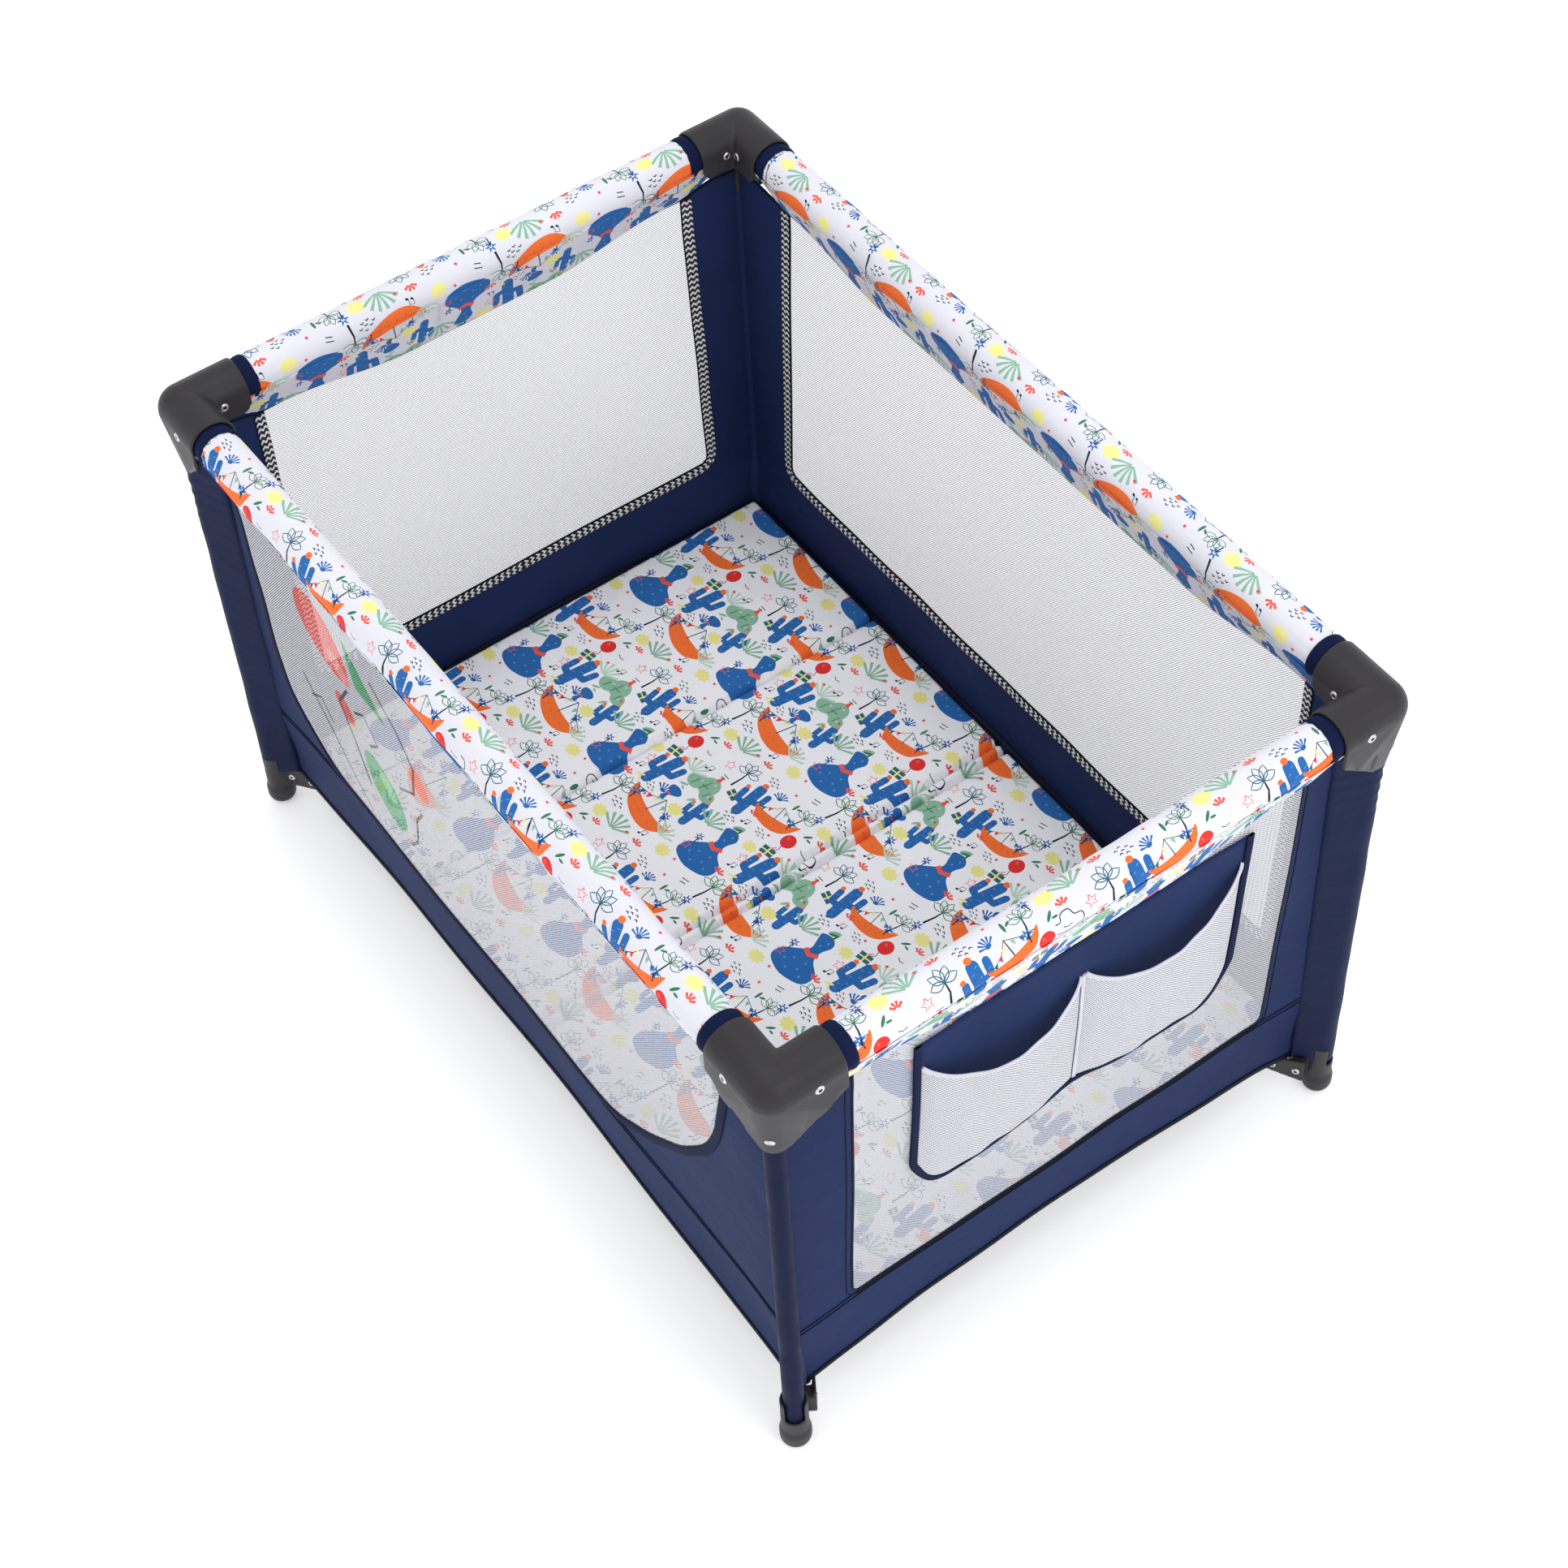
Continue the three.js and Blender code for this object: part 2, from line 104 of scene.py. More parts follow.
SIDES = {
    "front": {"half": LEG_X, "kind": "long", "ends": {-1: "front_left", 1: "front_right"}},
    "rear": {"half": LEG_X, "kind": "long", "ends": {-1: "rear_left", 1: "rear_right"}},
    "left": {"half": LEG_Y, "kind": "short", "ends": {-1: "front_left", 1: "rear_left"}},
    "right": {"half": LEG_Y, "kind": "short", "ends": {-1: "front_right", 1: "rear_right"}},
}
CORNERS = {
    "front_left": (-1, -1),
    "front_right": (1, -1),
    "rear_left": (-1, 1),
    "rear_right": (1, 1),
}
SLEEVED = ("front_left", "rear_right")

# Each window's rim by side and end, as (distance from the side's middle, height) from its top
# down to the middle. A side with one entry has the same window at both ends.
WINDOWS = {
    ("right", -1): [(0.300, 0.70), (0.300, 0.203), (0.0, 0.203)],
    ("left", -1): [(0.304, 0.70), (0.304, 0.212), (0.0, 0.212)],
    ("rear", -1): [(0.483, 0.70), (0.483, 0.212), (0.0, 0.212)],
    ("front", -1): [(0.500, 0.70), (0.500, 0.300), (0.410, 0.208), (0.0, 0.208)],
    ("front", 1): [(0.502, 0.70), (0.497, 0.655), (0.489, 0.593), (0.469, 0.501), (0.437, 0.424),
                   (0.379, 0.344), (0.302, 0.265), (0.224, 0.214), (0.170, 0.208), (0.0, 0.208)],
}


# ---- node materials ----
class Shader:
    """A small helper that adds nodes to one material and links them."""

    def __init__(self, name):
        self.material = bpy.data.materials.new(name)
        self.material.use_nodes = True
        self.tree = self.material.node_tree
        self.tree.nodes.clear()
        self.output = self.node("OutputMaterial")

    def node(self, kind, inputs=None, **settings):
        made = self.tree.nodes.new("ShaderNode" + kind)
        for key, value in settings.items():
            setattr(made, key, value)
        for key, value in (inputs or {}).items():
            if isinstance(value, bpy.types.NodeSocket):
                self.tree.links.new(value, made.inputs[key])
            else:
                made.inputs[key].default_value = value
        return made

    def math(self, operation, *values):
        return self.node("Math", dict(enumerate(values)), operation=operation).outputs[0]

    def mix(self, share, low, high):
        made = self.node("Mix", {0: share, 6: low, 7: high}, data_type="RGBA")
        return made.outputs[2]

    def flat(self):
        made = self.node("Attribute", attribute_name="flat", attribute_type="GEOMETRY")
        return made.outputs["Vector"]

    def place(self):
        return self.node("TexCoord").outputs["Object"]

    def noise(self, where, scale, detail=2.0):
        return self.node("TexNoise", {"Vector": where, "Scale": scale, "Detail": detail}).outputs[0]

    def spread(self, value, low, high, out_low, out_high):
        inputs = {"Value": value, 1: low, 2: high, 3: out_low, 4: out_high}
        return self.node("MapRange", inputs, clamp=True).outputs[0]

    def bump(self, height, strength, distance):
        inputs = {"Height": height, "Strength": strength, "Distance": distance}
        return self.node("Bump", inputs).outputs[0]

    def surface(self, **inputs):
        return self.node("BsdfPrincipled", {k.replace("_", " "): v for k, v in inputs.items()})

    def done(self, shader):
        self.tree.links.new(shader.outputs[0], self.output.inputs["Surface"])
        return self.material


def rgb(red, green, blue):
    """A linear colour from the usual 0-255 values."""
    def linear(value):
        c = value / 255
        return c / 12.92 if c <= 0.04045 else ((c + 0.055) / 1.055) ** 2.4
    return (linear(red), linear(green), linear(blue), 1.0)


def tinted(colour, factor):
    """A colour made lighter or darker."""
    return tuple(min(1.0, c * factor) for c in colour[:3]) + (1.0,)


def weave(s, where, pitch):
    """Two crossed sets of threads, 0 to 1."""
    axes = s.node("SeparateXYZ", {"Vector": where})
    turns = 2 * math.pi / pitch
    warp = s.math("SINE", s.math("MULTIPLY", axes.outputs[0], turns))
    weft = s.math("SINE", s.math("MULTIPLY", axes.outputs[1], turns))
    return s.math("MULTIPLY_ADD", s.math("MULTIPLY", warp, weft), 0.5, 0.5)


def cloth(name, colour, roughness=0.85, pitch=0.0011, sheen=0.05, tone=0.10, crinkle=0.0, gleam=0.2):
    """Woven cloth, with threads, slubs, soft crinkles and a slow change of tone."""
    s = Shader(name)
    where = s.flat()
    threads = weave(s, where, pitch)
    slow = s.spread(s.noise(s.place(), 5.0, 3.0), 0.3, 0.7, 0.0, 1.0)
    base = s.mix(slow, tinted(colour, 1 - tone), tinted(colour, 1 + tone))
    shaded = s.mix(s.math("MULTIPLY", threads, 0.22), base, tinted(colour, 0.72))
    height = s.math("MULTIPLY_ADD", s.noise(where, 420.0), 0.6, threads)
    creased = s.bump(s.noise(where, 26.0, 2.5), crinkle, 0.004)
    normal = s.node("Bump", {"Height": height, "Strength": 0.25, "Distance": 0.0004, "Normal": creased})
    return s.done(s.surface(
        Base_Color=shaded, Roughness=roughness, Sheen_Weight=sheen, Sheen_Roughness=0.4,
        Specular_IOR_Level=gleam, Normal=normal.outputs[0],
    ))


def netting(name, colour, pitch=0.0031, open_low=-0.02, open_high=0.26):
    """Knitted netting with staggered holes that are really clear."""
    s = Shader(name)
    axes = s.node("SeparateXYZ", {"Vector": s.flat()})
    across = s.math("SINE", s.math("MULTIPLY", axes.outputs[0], 2 * math.pi / pitch))
    down = s.math("COSINE", s.math("MULTIPLY", axes.outputs[1], 2 * math.pi / pitch * 0.8))
    cell = s.math("MULTIPLY", across, down)
    hole = s.spread(cell, open_low, open_high, 0.0, 0.92)
    knit = s.mix(s.noise(s.flat(), 900.0), tinted(colour, 0.93), tinted(colour, 1.04))
    thread = s.surface(Base_Color=knit, Roughness=0.8, Sheen_Weight=0.2, Alpha=1.0)
    made = s.node("MixShader", {0: hole, 1: thread.outputs[0], 2: s.node("BsdfTransparent").outputs[0]})
    return s.done(made)


def tape_material():
    """Black and white chevron webbing."""
    s = Shader("chevron_tape")
    axes = s.node("SeparateXYZ", {"Vector": s.flat()})
    zig = s.math("PINGPONG", axes.outputs[1], 0.0037)
    run = s.math("ADD", axes.outputs[0], s.math("MULTIPLY", zig, 1.1))
    stripe = s.math("SINE", s.math("MULTIPLY", run, 2 * math.pi / 0.0095))
    dark = s.spread(stripe, -0.45, -0.05, 0.0, 1.0)
    colour = s.mix(dark, rgb(225, 225, 228), rgb(24, 24, 30))
    return s.done(s.surface(
        Base_Color=colour, Roughness=0.85, Normal=s.bump(stripe, 0.3, 0.0006)))


def moulded(name, colour, roughness=0.5):
    """Moulded plastic with a fine spark-eroded grain and slightly rubbed patches."""
    s = Shader(name)
    rub = s.spread(s.noise(s.place(), 18.0, 4.0), 0.35, 0.75, 0.0, 1.0)
    grain = s.noise(s.place(), 1500.0, 3.0)
    base = s.mix(rub, tinted(colour, 0.92), tinted(colour, 1.14))
    gloss = s.spread(rub, 0.0, 1.0, roughness + 0.05, roughness - 0.07)
    return s.done(s.surface(
        Base_Color=base, Roughness=gloss, Specular_IOR_Level=0.26, Normal=s.bump(grain, 0.12, 0.0003)))


def metal(name, colour, roughness, metallic=1.0, gleam=0.5):
    """Drawn tube or painted steel, with faint streaks and fingerprints in the gloss."""
    s = Shader(name)
    smudge = s.noise(s.place(), 30.0, 5.0)
    gloss = s.spread(smudge, 0.3, 0.7, roughness - 0.06, roughness + 0.10)
    base = s.mix(smudge, tinted(colour, 0.88), tinted(colour, 1.08))
    grain = s.noise(s.place(), 700.0)
    return s.done(s.surface(
        Base_Color=base, Roughness=gloss, Metallic=metallic, Specular_IOR_Level=gleam,
        Normal=s.bump(grain, 0.05, 0.0002)))


PRINT_COLOURS = {
    "white": rgb(224, 224, 234),
    "blue": rgb(42, 104, 174),
    "sky": rgb(92, 152, 208),
    "orange": rgb(246, 116, 52),
    "coral": rgb(236, 92, 74),
    "red": rgb(226, 52, 52),
    "sage": rgb(140, 186, 160),
    "mint": rgb(186, 216, 198),
    "green": rgb(58, 122, 92),
    "teal": rgb(42, 104, 120),
    "yellow": rgb(240, 234, 150),
    "ink": rgb(28, 34, 58),
    "pale": rgb(245, 245, 250),
}
PRINT_NAMES = list(PRINT_COLOURS)
print_materials = [cloth("print_" + k, v, 0.88, tone=0.03) for k, v in PRINT_COLOURS.items()]

CRINKLED = {"pitch": 0.0009, "sheen": 0.0, "tone": 0.14, "crinkle": 0.5}
navy_cloth = cloth("navy_cloth", rgb(32, 45, 85), 0.55, gleam=0.04, **CRINKLED)
navy_sleeve = cloth("navy_sleeve", rgb(24, 34, 66), 0.52, gleam=0.06, **CRINKLED)
navy_binding = cloth("navy_binding", rgb(18, 27, 60), 0.65, 0.0013, sheen=0.0, gleam=0.05)
black_piping = cloth("black_piping", rgb(11, 14, 30), 0.6, 0.0016, sheen=0.0, gleam=0.10)
white_elastic = cloth("white_elastic", rgb(204, 204, 214), 0.8, 0.0014)
pad_base = cloth("pad_base", rgb(26, 32, 58), 0.85, 0.0016)
chevron_tape = tape_material()
NET_COLOURS = {
    "net": rgb(194, 195, 202),
    "red": rgb(228, 74, 58),
    "rose": rgb(240, 140, 128),
    "green": rgb(46, 160, 92),
    "lime": rgb(120, 200, 130),
    "ink": rgb(14, 16, 24),
}
NET_NAMES = list(NET_COLOURS)
net_materials = [netting("netting_" + k, v) for k, v in NET_COLOURS.items()]
pocket_net = netting("netting_pocket", rgb(226, 226, 234), 0.0030, 0.02, 0.30)
charcoal = moulded("charcoal_moulding", rgb(43, 41, 44), 0.44)
foot_plastic = moulded("foot_moulding", rgb(45, 44, 47), 0.46)
navy_paint = metal("navy_paint", rgb(20, 27, 58), 0.42, metallic=0.0, gleam=0.03)
steel = metal("grey_steel", rgb(178, 180, 184), 0.28)
arm_steel = metal("arm_steel", rgb(120, 124, 128), 0.32)
rivet_metal = metal("rivet_metal", rgb(206, 206, 210), 0.26)
# Painted shade: the dark eye in each rivet's shallow hollow, standing in for a deep bore.
eye_painted_shade = moulded("rivet_eye_painted_shade", rgb(40, 40, 44), 0.5)


# ---- mesh helpers ----
def linked(name, data):
    """A new object with a mesh, lamp or camera."""
    obj = bpy.data.objects.new(name, data)
    bpy.context.scene.collection.objects.link(obj)
    return obj


def make(name, points, faces, materials, picks=None, flat=None):
    """A smooth piece; picks are its faces' material numbers, and flat its points' places
    on the cloth it is cut from."""
    mesh = bpy.data.meshes.new(name)
    mesh.from_pydata([tuple(map(float, p)) for p in points], [], [tuple(f) for f in faces])
    for item in materials:
        mesh.materials.append(item)
    if picks is not None:
        mesh.polygons.foreach_set("material_index", np.asarray(picks, np.int32))
    mesh.polygons.foreach_set("use_smooth", np.full(len(faces), True))
    if flat is not None:
        spot = np.zeros((len(points), 3), np.float32)
        spot[:, :2] = flat
        mesh.attributes.new("flat", "FLOAT_VECTOR", "POINT").data.foreach_set("vector", spot.ravel())
    mesh.update()
    return linked(name, mesh)


def attached(piece, body, slot, *nodes):
    """Rides a piece on its body, and hides the CAD nodes that it stands for; slot is not used."""
    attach(piece, body)
    if nodes:
        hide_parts(*nodes)


def solid(obj, thickness):
    made = obj.modifiers.new("thickness", "SOLIDIFY")
    made.thickness = thickness
    made.offset = 0.0
    return obj


def applied(obj):
    """Applies every modifier to the piece's mesh."""
    graph = bpy.context.evaluated_depsgraph_get()
    obj.data = bpy.data.meshes.new_from_object(obj.evaluated_get(graph))
    obj.modifiers.clear()


def remeshed(obj, voxel):
    """Fuses everything in a piece into one closed skin."""
    made = obj.modifiers.new("fuse", "REMESH")
    made.mode, made.voxel_size = "VOXEL", voxel
    applied(obj)


def cut_away(obj, tool):
    """Cuts a tool's shape out of a piece, and removes the tool."""
    made = obj.modifiers.new("cut", "BOOLEAN")
    made.operation, made.object, made.solver = "DIFFERENCE", tool, "EXACT"
    applied(obj)
    bpy.data.objects.remove(tool)


def smoothstep(low, high, value):
    t = np.clip((np.asarray(value, float) - low) / (high - low), 0.0, 1.0)
    return t * t * (3 - 2 * t)


def ripple(a, b, size, seed):
    """Gentle repeatable unevenness, about -1 to 1, over two coordinates in metres."""
    total = np.zeros(np.broadcast(a, b).shape)
    for k in range(4):
        turn = seed * 1.7 + k * 2.399
        wave = 2 * math.pi / (size * (0.7 + 0.45 * k))
        total = total + np.sin(wave * (a * math.cos(turn) + b * math.sin(turn)) + seed + 1.3 * k)
    return total / 3


def circle(count):
    """The angles of evenly spaced points around a circle."""
    return [2 * math.pi * k / count for k in range(count)]


def tube_faces(rings, count):
    """The faces between rings of count points each."""
    return [(i * count + j, i * count + (j + 1) % count, (i + 1) * count + (j + 1) % count,
             (i + 1) * count + j) for i in range(rings - 1) for j in range(count)]


def sweep(name, path, section, material):
    """A strip or cord: section (side, up) offsets carried along path by frames
    (point, side vector, up vector)."""
    count, width = len(path), len(section)
    points, flat, run = [], [], 0.0
    for i, (point, side, up) in enumerate(path):
        if i:
            run += (point - path[i - 1][0]).length
        points += [point + side * a + up * b for a, b in section]
        flat += [(run, a) for a, _ in section]
    faces = []
    for i in range(count - 1):
        for j in range(width):
            k = (j + 1) % width
            faces.append((i * width + j, (i + 1) * width + j, (i + 1) * width + k, i * width + k))
    faces.append(tuple(range(width))[::-1])
    faces.append(tuple((count - 1) * width + j for j in range(width)))
    return make(name, points, faces, [material], flat=flat)


def frames_along(points, up):
    """Frames for sweep() along points, with one direction for up."""
    frames = []
    for i, p in enumerate(points):
        ahead = points[min(i + 1, len(points) - 1)] - points[max(i - 1, 0)]
        frames.append((p, ahead.normalized().cross(up).normalized(), up))
    return frames


def round_section(radius, count):
    return [(radius * math.cos(t), radius * math.sin(t)) for t in circle(count)]


def flat_section(half_width, half_height):
    """A flattened oval, for bindings, hems and webbing."""
    def squarer(value):
        return math.copysign(abs(value) ** 0.5, value)
    return [(half_width * squarer(math.cos(t)), half_height * squarer(math.sin(t))) for t in circle(12)]


SEAM = round_section(0.0006, 6)
# The lines of trim on a wall: lift off it, shift away from the window, section and material.
TRIMS = {
    "window_seam": (0.0004, 0.0085, SEAM, black_piping),
    "window_edge": (0.0003, 0.0, flat_section(0.0014, 0.0007), black_piping),
    "window_tape": (-0.0020, 0.0072, flat_section(0.0072, 0.0006), chevron_tape),
    "window_binding": (0.0006, 0.0060, flat_section(0.0058, 0.0012), navy_binding),
    "hem": (0.0, 0.0, flat_section(0.0050, 0.0021), black_piping),
    "border_piping": (0.0, 0.0, round_section(0.0017, 8), black_piping),
    "band_seam_0": (0.0006, 0.0, SEAM, black_piping),
    "band_seam_1": (0.0006, 0.0, SEAM, black_piping),
}


def lathe(name, profile, material, segments):
    """A turned piece around +Z from (radius, height) points."""
    points = [(r * math.cos(t), r * math.sin(t), z) for t in circle(segments) for r, z in profile]
    faces, n = [], len(profile)
    for k in range(segments):
        m = (k + 1) % segments
        faces += [(k * n + i, m * n + i, m * n + i + 1, k * n + i + 1) for i in range(n - 1)]
    obj = make(name, points, faces, [material])
    tidy = bmesh.new()
    tidy.from_mesh(obj.data)
    bmesh.ops.remove_doubles(tidy, verts=tidy.verts, dist=1e-6)
    bmesh.ops.recalc_face_normals(tidy, faces=tidy.faces)
    tidy.to_mesh(obj.data)
    tidy.free()
    return obj


def hull(points):
    """The convex hull of points as a mesh."""
    shape = bmesh.new()
    for p in points:
        shape.verts.new(p)
    result = bmesh.ops.convex_hull(shape, input=shape.verts)
    loose = [v for v in result["geom_interior"] if isinstance(v, bmesh.types.BMVert)]
    bmesh.ops.delete(shape, geom=loose, context="VERTS")
    mesh = bpy.data.meshes.new("hull")
    shape.to_mesh(mesh)
    shape.free()
    return mesh


def joined(name, meshes):
    """One object that holds every mesh."""
    shape = bmesh.new()
    for mesh in meshes:
        shape.from_mesh(mesh)
    mesh = bpy.data.meshes.new(name)
    shape.to_mesh(mesh)
    shape.free()
    return linked(name, mesh)


def fused(name, added, removed, kept, voxel, rounds, material):
    """Solid moulding: hulls fused together, hollows cut out, kept walls put back, edges softened."""
    body, tool = joined(name, added), joined(name + "_tool", removed)
    remeshed(body, voxel)
    remeshed(tool, voxel)
    cut_away(body, tool)
    whole = joined(name, [body.data, *kept])
    bpy.data.objects.remove(body)
    remeshed(whole, voxel)
    soften = whole.modifiers.new("soften", "SMOOTH")
    soften.factor, soften.iterations = 0.5, rounds
    thin = whole.modifiers.new("thin", "DECIMATE")
    thin.ratio = 0.35
    applied(whole)
    whole.data.materials.clear()
    whole.data.materials.append(material)
    whole.data.polygons.foreach_set("use_smooth", np.full(len(whole.data.polygons), True))
    return whole


def placed_copy(source, name, flip_x, flip_y, offset):
    """A mirrored copy of a corner piece, moved to its corner."""
    obj = linked(name, source.data.copy())
    obj.data.transform(Matrix.Translation(offset) @ Matrix.Diagonal((flip_x, flip_y, 1, 1)))
    if flip_x * flip_y < 0:
        obj.data.flip_normals()
    return obj


def ring(axis, centre, radius):
    """Points of a circle around an axis, 0 for X to 2 for Z."""
    points = []
    for turn in circle(40):
        offset = [radius * math.cos(turn), radius * math.sin(turn)]
        offset.insert(axis, 0.0)
        points.append(tuple(c + o for c, o in zip(centre, offset)))
    return points


# ---- the printed pattern: generic plants, toys and marks, in millimetres ----
def oval(x, y, rx, ry, turn=0.0, count=16):
    c, s = math.cos(turn), math.sin(turn)
    out = []
    for a in circle(count):
        px, py = rx * math.cos(a), ry * math.sin(a)
        out.append((x + px * c - py * s, y + px * s + py * c))
    return out


def smooth_loop(points, steps=4):
    """A smooth closed outline through the points."""
    out, n = [], len(points)
    for i in range(n):
        p = [points[(i + k - 1) % n] for k in range(4)]
        for j in range(steps):
            t = j / steps
            out.append(tuple(
                0.5 * (2 * b + (c - a) * t + (2 * a - 5 * b + 4 * c - d) * t * t
                       + (3 * b - a - 3 * c + d) * t ** 3)
                for a, b, c, d in zip(*p)))
    return out


def stroke(points, width, tip=None):
    """A brush line as an outline; tip is its width at the far end."""
    tip = width if tip is None else tip
    left, right, n = [], [], len(points)
    for i, (x, y) in enumerate(points):
        ax, ay = points[max(i - 1, 0)]
        bx, by = points[min(i + 1, n - 1)]
        size = math.hypot(bx - ax, by - ay) or 1.0
        half = (width + (tip - width) * i / (n - 1)) / 2
        nx, ny = -(by - ay) / size * half, (bx - ax) / size * half
        left.append((x + nx, y + ny))
        right.append((x - nx, y - ny))
    return left + right[::-1]


def capsule(x0, y0, x1, y1, width):
    """A straight round-ended bar."""
    turn, r = math.atan2(y1 - y0, x1 - x0), width / 2
    ends = []
    for x, y, start in ((x1, y1, -0.5), (x0, y0, 0.5)):
        ends += [(x + r * math.cos(turn + math.pi * (start + k / 6)),
                  y + r * math.sin(turn + math.pi * (start + k / 6))) for k in range(7)]
    return ends


def fan(count, low, high, reach, width, tip):
    """Strokes that spread from one point, between two angles in degrees."""
    out = []
    for k in range(count):
        a = math.radians(low + (high - low) * k / (count - 1))
        c, s = math.cos(a), math.sin(a)
        out.append(stroke([(c * 2, s * 2), (c * reach * 0.6, s * reach * 0.6), (c * reach, s * reach)],
                          width, tip))
    return out


def cactus():
    parts = [(capsule(0, -20, 0, 19, 13), "blue"), (capsule(0, -9, -13, -7, 8), "blue"),
             (capsule(-13, -7, -14, 8, 8), "blue"), (capsule(0, -1, 13, 2, 8), "blue"),
             (capsule(13, 2, 14, 16, 8), "blue"), (oval(0, 26, 4, 3.4), "orange"),
             (oval(-15, 13, 3, 2.6), "orange")]
    spots = [(-3, -16), (3, -9), (-3, -2), (3, 5), (-3, 12), (3, 17), (-14, 2), (14, 8), (0, -22)]
    return parts + [(stroke([(x - 1.6, y), (x + 1.6, y + 1.2)], 0.9), "sky") for x, y in spots]


def gourd():
    body = smooth_loop([(-21, -20), (-2, -26), (19, -20), (21, -6), (9, 3), (6, 14), (9, 25),
                        (2, 32), (-9, 29), (-7, 21), (-4, 11), (-12, 2), (-22, -8)])
    parts = [(body, "blue"), (stroke([(-7, 8), (0, 5), (8, 9)], 4.5), "coral"),
             (oval(-1, 36, 6, 2.6, 0.6), "sage"), (stroke([(2, 31), (3, 37)], 1.6), "ink")]
    spots = [(-12, -12), (-4, -18), (5, -12), (12, -16), (-6, -6), (6, -3), (0, 18), (3, 25)]
    return parts + [(oval(x, y, 1.1, 1.1, count=8), "sky") for x, y in spots]


def boat():
    shell = smooth_loop([(-36, 11), (-26, -7), (0, -15), (24, -10), (40, 12), (24, 6), (0, 4), (-22, 6)])
    parts = [(shell, "orange"), (stroke([(0, 2), (0, 26)], 1.2), "ink"),
             (stroke([(-33, 8), (-14, 15), (0, 26), (16, 16), (35, 10)], 0.9), "ink")]
    flags = [(-24, 11, "teal"), (-15, 15, "red"), (-7, 20, "yellow"), (8, 20, "sage"), (18, 15, "blue")]
    return parts + [([(x - 3, y), (x + 3, y + 0.6), (x, y - 7)], c) for x, y, c in flags] + [
        (oval(x, -4, 1.4, 1.4, count=8), "coral") for x in (-14, -4, 6, 16)]


def bush():
    parts = [(oval(-10, 0, 12, 10), "sage"), (oval(5, 6, 13, 13), "sage"), (oval(15, -5, 10, 8), "sage"),
             ([(2, 17), (9, 17), (5, 28)], "coral")]
    veins = [[(-12, -6), (-10, 4)], [(0, -4), (3, 12)], [(12, -8), (14, 2)], [(-2, 2), (8, 3)]]
    return parts + [(stroke(v, 1.2), "green") for v in veins] + [
        (oval(x, y, 1.6, 1.6, count=8), "mint") for x, y in ((-6, 5), (8, 12), (16, -4))]


def leaf_loop(turn, reach, half):
    """The outline of one leaf as a thin closed line, out and back."""
    c, s = math.cos(turn), math.sin(turn)
    path = [(t * reach, half * math.sin(math.pi * t)) for t in np.linspace(0, 1, 7)]
    path += [(t * reach, -half * math.sin(math.pi * t)) for t in np.linspace(1, 0, 7)[1:]]
    return [(x * c - y * s, x * s + y * c) for x, y in path]


def palm(colour="green"):
    parts = [(stroke([(-2, -24), (0, -10), (0, 0)], 2.4, 1.4), "ink")]
    for degrees in (5, 50, 92, 135, 178):
        parts.append((stroke(leaf_loop(math.radians(degrees), 15, 4), 1.0), colour))
    return parts


def small_palm():
    return [(p, "blue") for p in fan(6, 0, 300, 7.5, 3.4, 1.0)] + [(stroke([(0, 0), (2, -12)], 1.6), "ink")]


def shell():
    return [(p, "blue") for p in fan(6, 25, 155, 12, 1.0, 2.6)] + [(oval(0, 1, 4, 2.4), "blue")]


def fern(colour="sage"):
    return [(p, colour) for p in fan(6, 30, 150, 24, 1.6, 4.2)]


def flame():
    return [(p, "coral") for p in fan(4, 35, 145, 9, 1.8, 3.2)]


def gift():
    return [([(-9, -6), (9, -6), (9, 6), (-9, 6)], "teal"), (stroke([(0, -6), (0, 6)], 2.2), "yellow"),
            (stroke([(-9, 0), (9, 0)], 1.8), "yellow"),
            (stroke([(0, 6), (-4, 11), (-6, 8), (0, 6)], 1.2), "coral"),
            (stroke([(0, 6), (4, 11), (6, 8), (0, 6)], 1.2), "coral")]


def notes():
    return [(oval(0, 0, 2.2, 1.6, 0.3, 10), "ink"),
            (stroke([(1.8, 0), (2.2, 8), (8.2, 9.4), (8, 2)], 1.0), "ink"),
            (oval(6.4, 1.6, 2.0, 1.5, 0.3, 10), "ink")]


def birds():
    spots = [(-8, 4), (-2, 7), (5, 3), (-5, -2), (2, -4), (9, -1), (-1, 1)]
    return [(stroke([(x - 2.2, y), (x, y + 1.4), (x + 2.0, y - 0.4)], 1.4), "ink") for x, y in spots]


def star(size, colour, outline=0.0):
    points = []
    for k in range(10):
        r = size if k % 2 == 0 else size * 0.45
        points.append((r * math.sin(math.pi * k / 5), r * math.cos(math.pi * k / 5)))
    return [(stroke(points + points[:1], outline) if outline else points, colour)]


def sun():
    points = []
    for k in range(18):
        r = 12 if k % 2 == 0 else 8.5
        points.append((r * math.sin(math.pi * k / 9), 0.8 * r * math.cos(math.pi * k / 9)))
    return [(smooth_loop(points, 2), "yellow")]


def balloon():
    return [(oval(0, 0, 8.6, 9.4), "red"), (oval(-3, 3, 1.6, 2.6, 0.4, 10), "coral"),
            (stroke([(0, -9), (2, -15), (-1, -20), (2, -27)], 0.9), "ink")]


def bubble():
    rim = oval(0, 0, 10, 8, count=20)
    return [(stroke(rim + rim[:1], 1.1), "ink"), (stroke([(-5, 2), (5, 3)], 1.2), "ink"),
            (stroke([(-4, -3), (4, -2)], 1.2), "ink")]


def cloud():
    """A blank cloud drawn in line."""
    rim = smooth_loop([(-17, -6), (-6, -9), (6, -9), (17, -5), (15, 5), (7, 6), (2, 13), (-7, 11), (-9, 4),
                       (-17, 3)], 3)
    return [(stroke(rim + rim[:1], 1.1), "ink"), (stroke([(-6, -2), (-1, -4), (4, -2)], 1.0), "ink")]


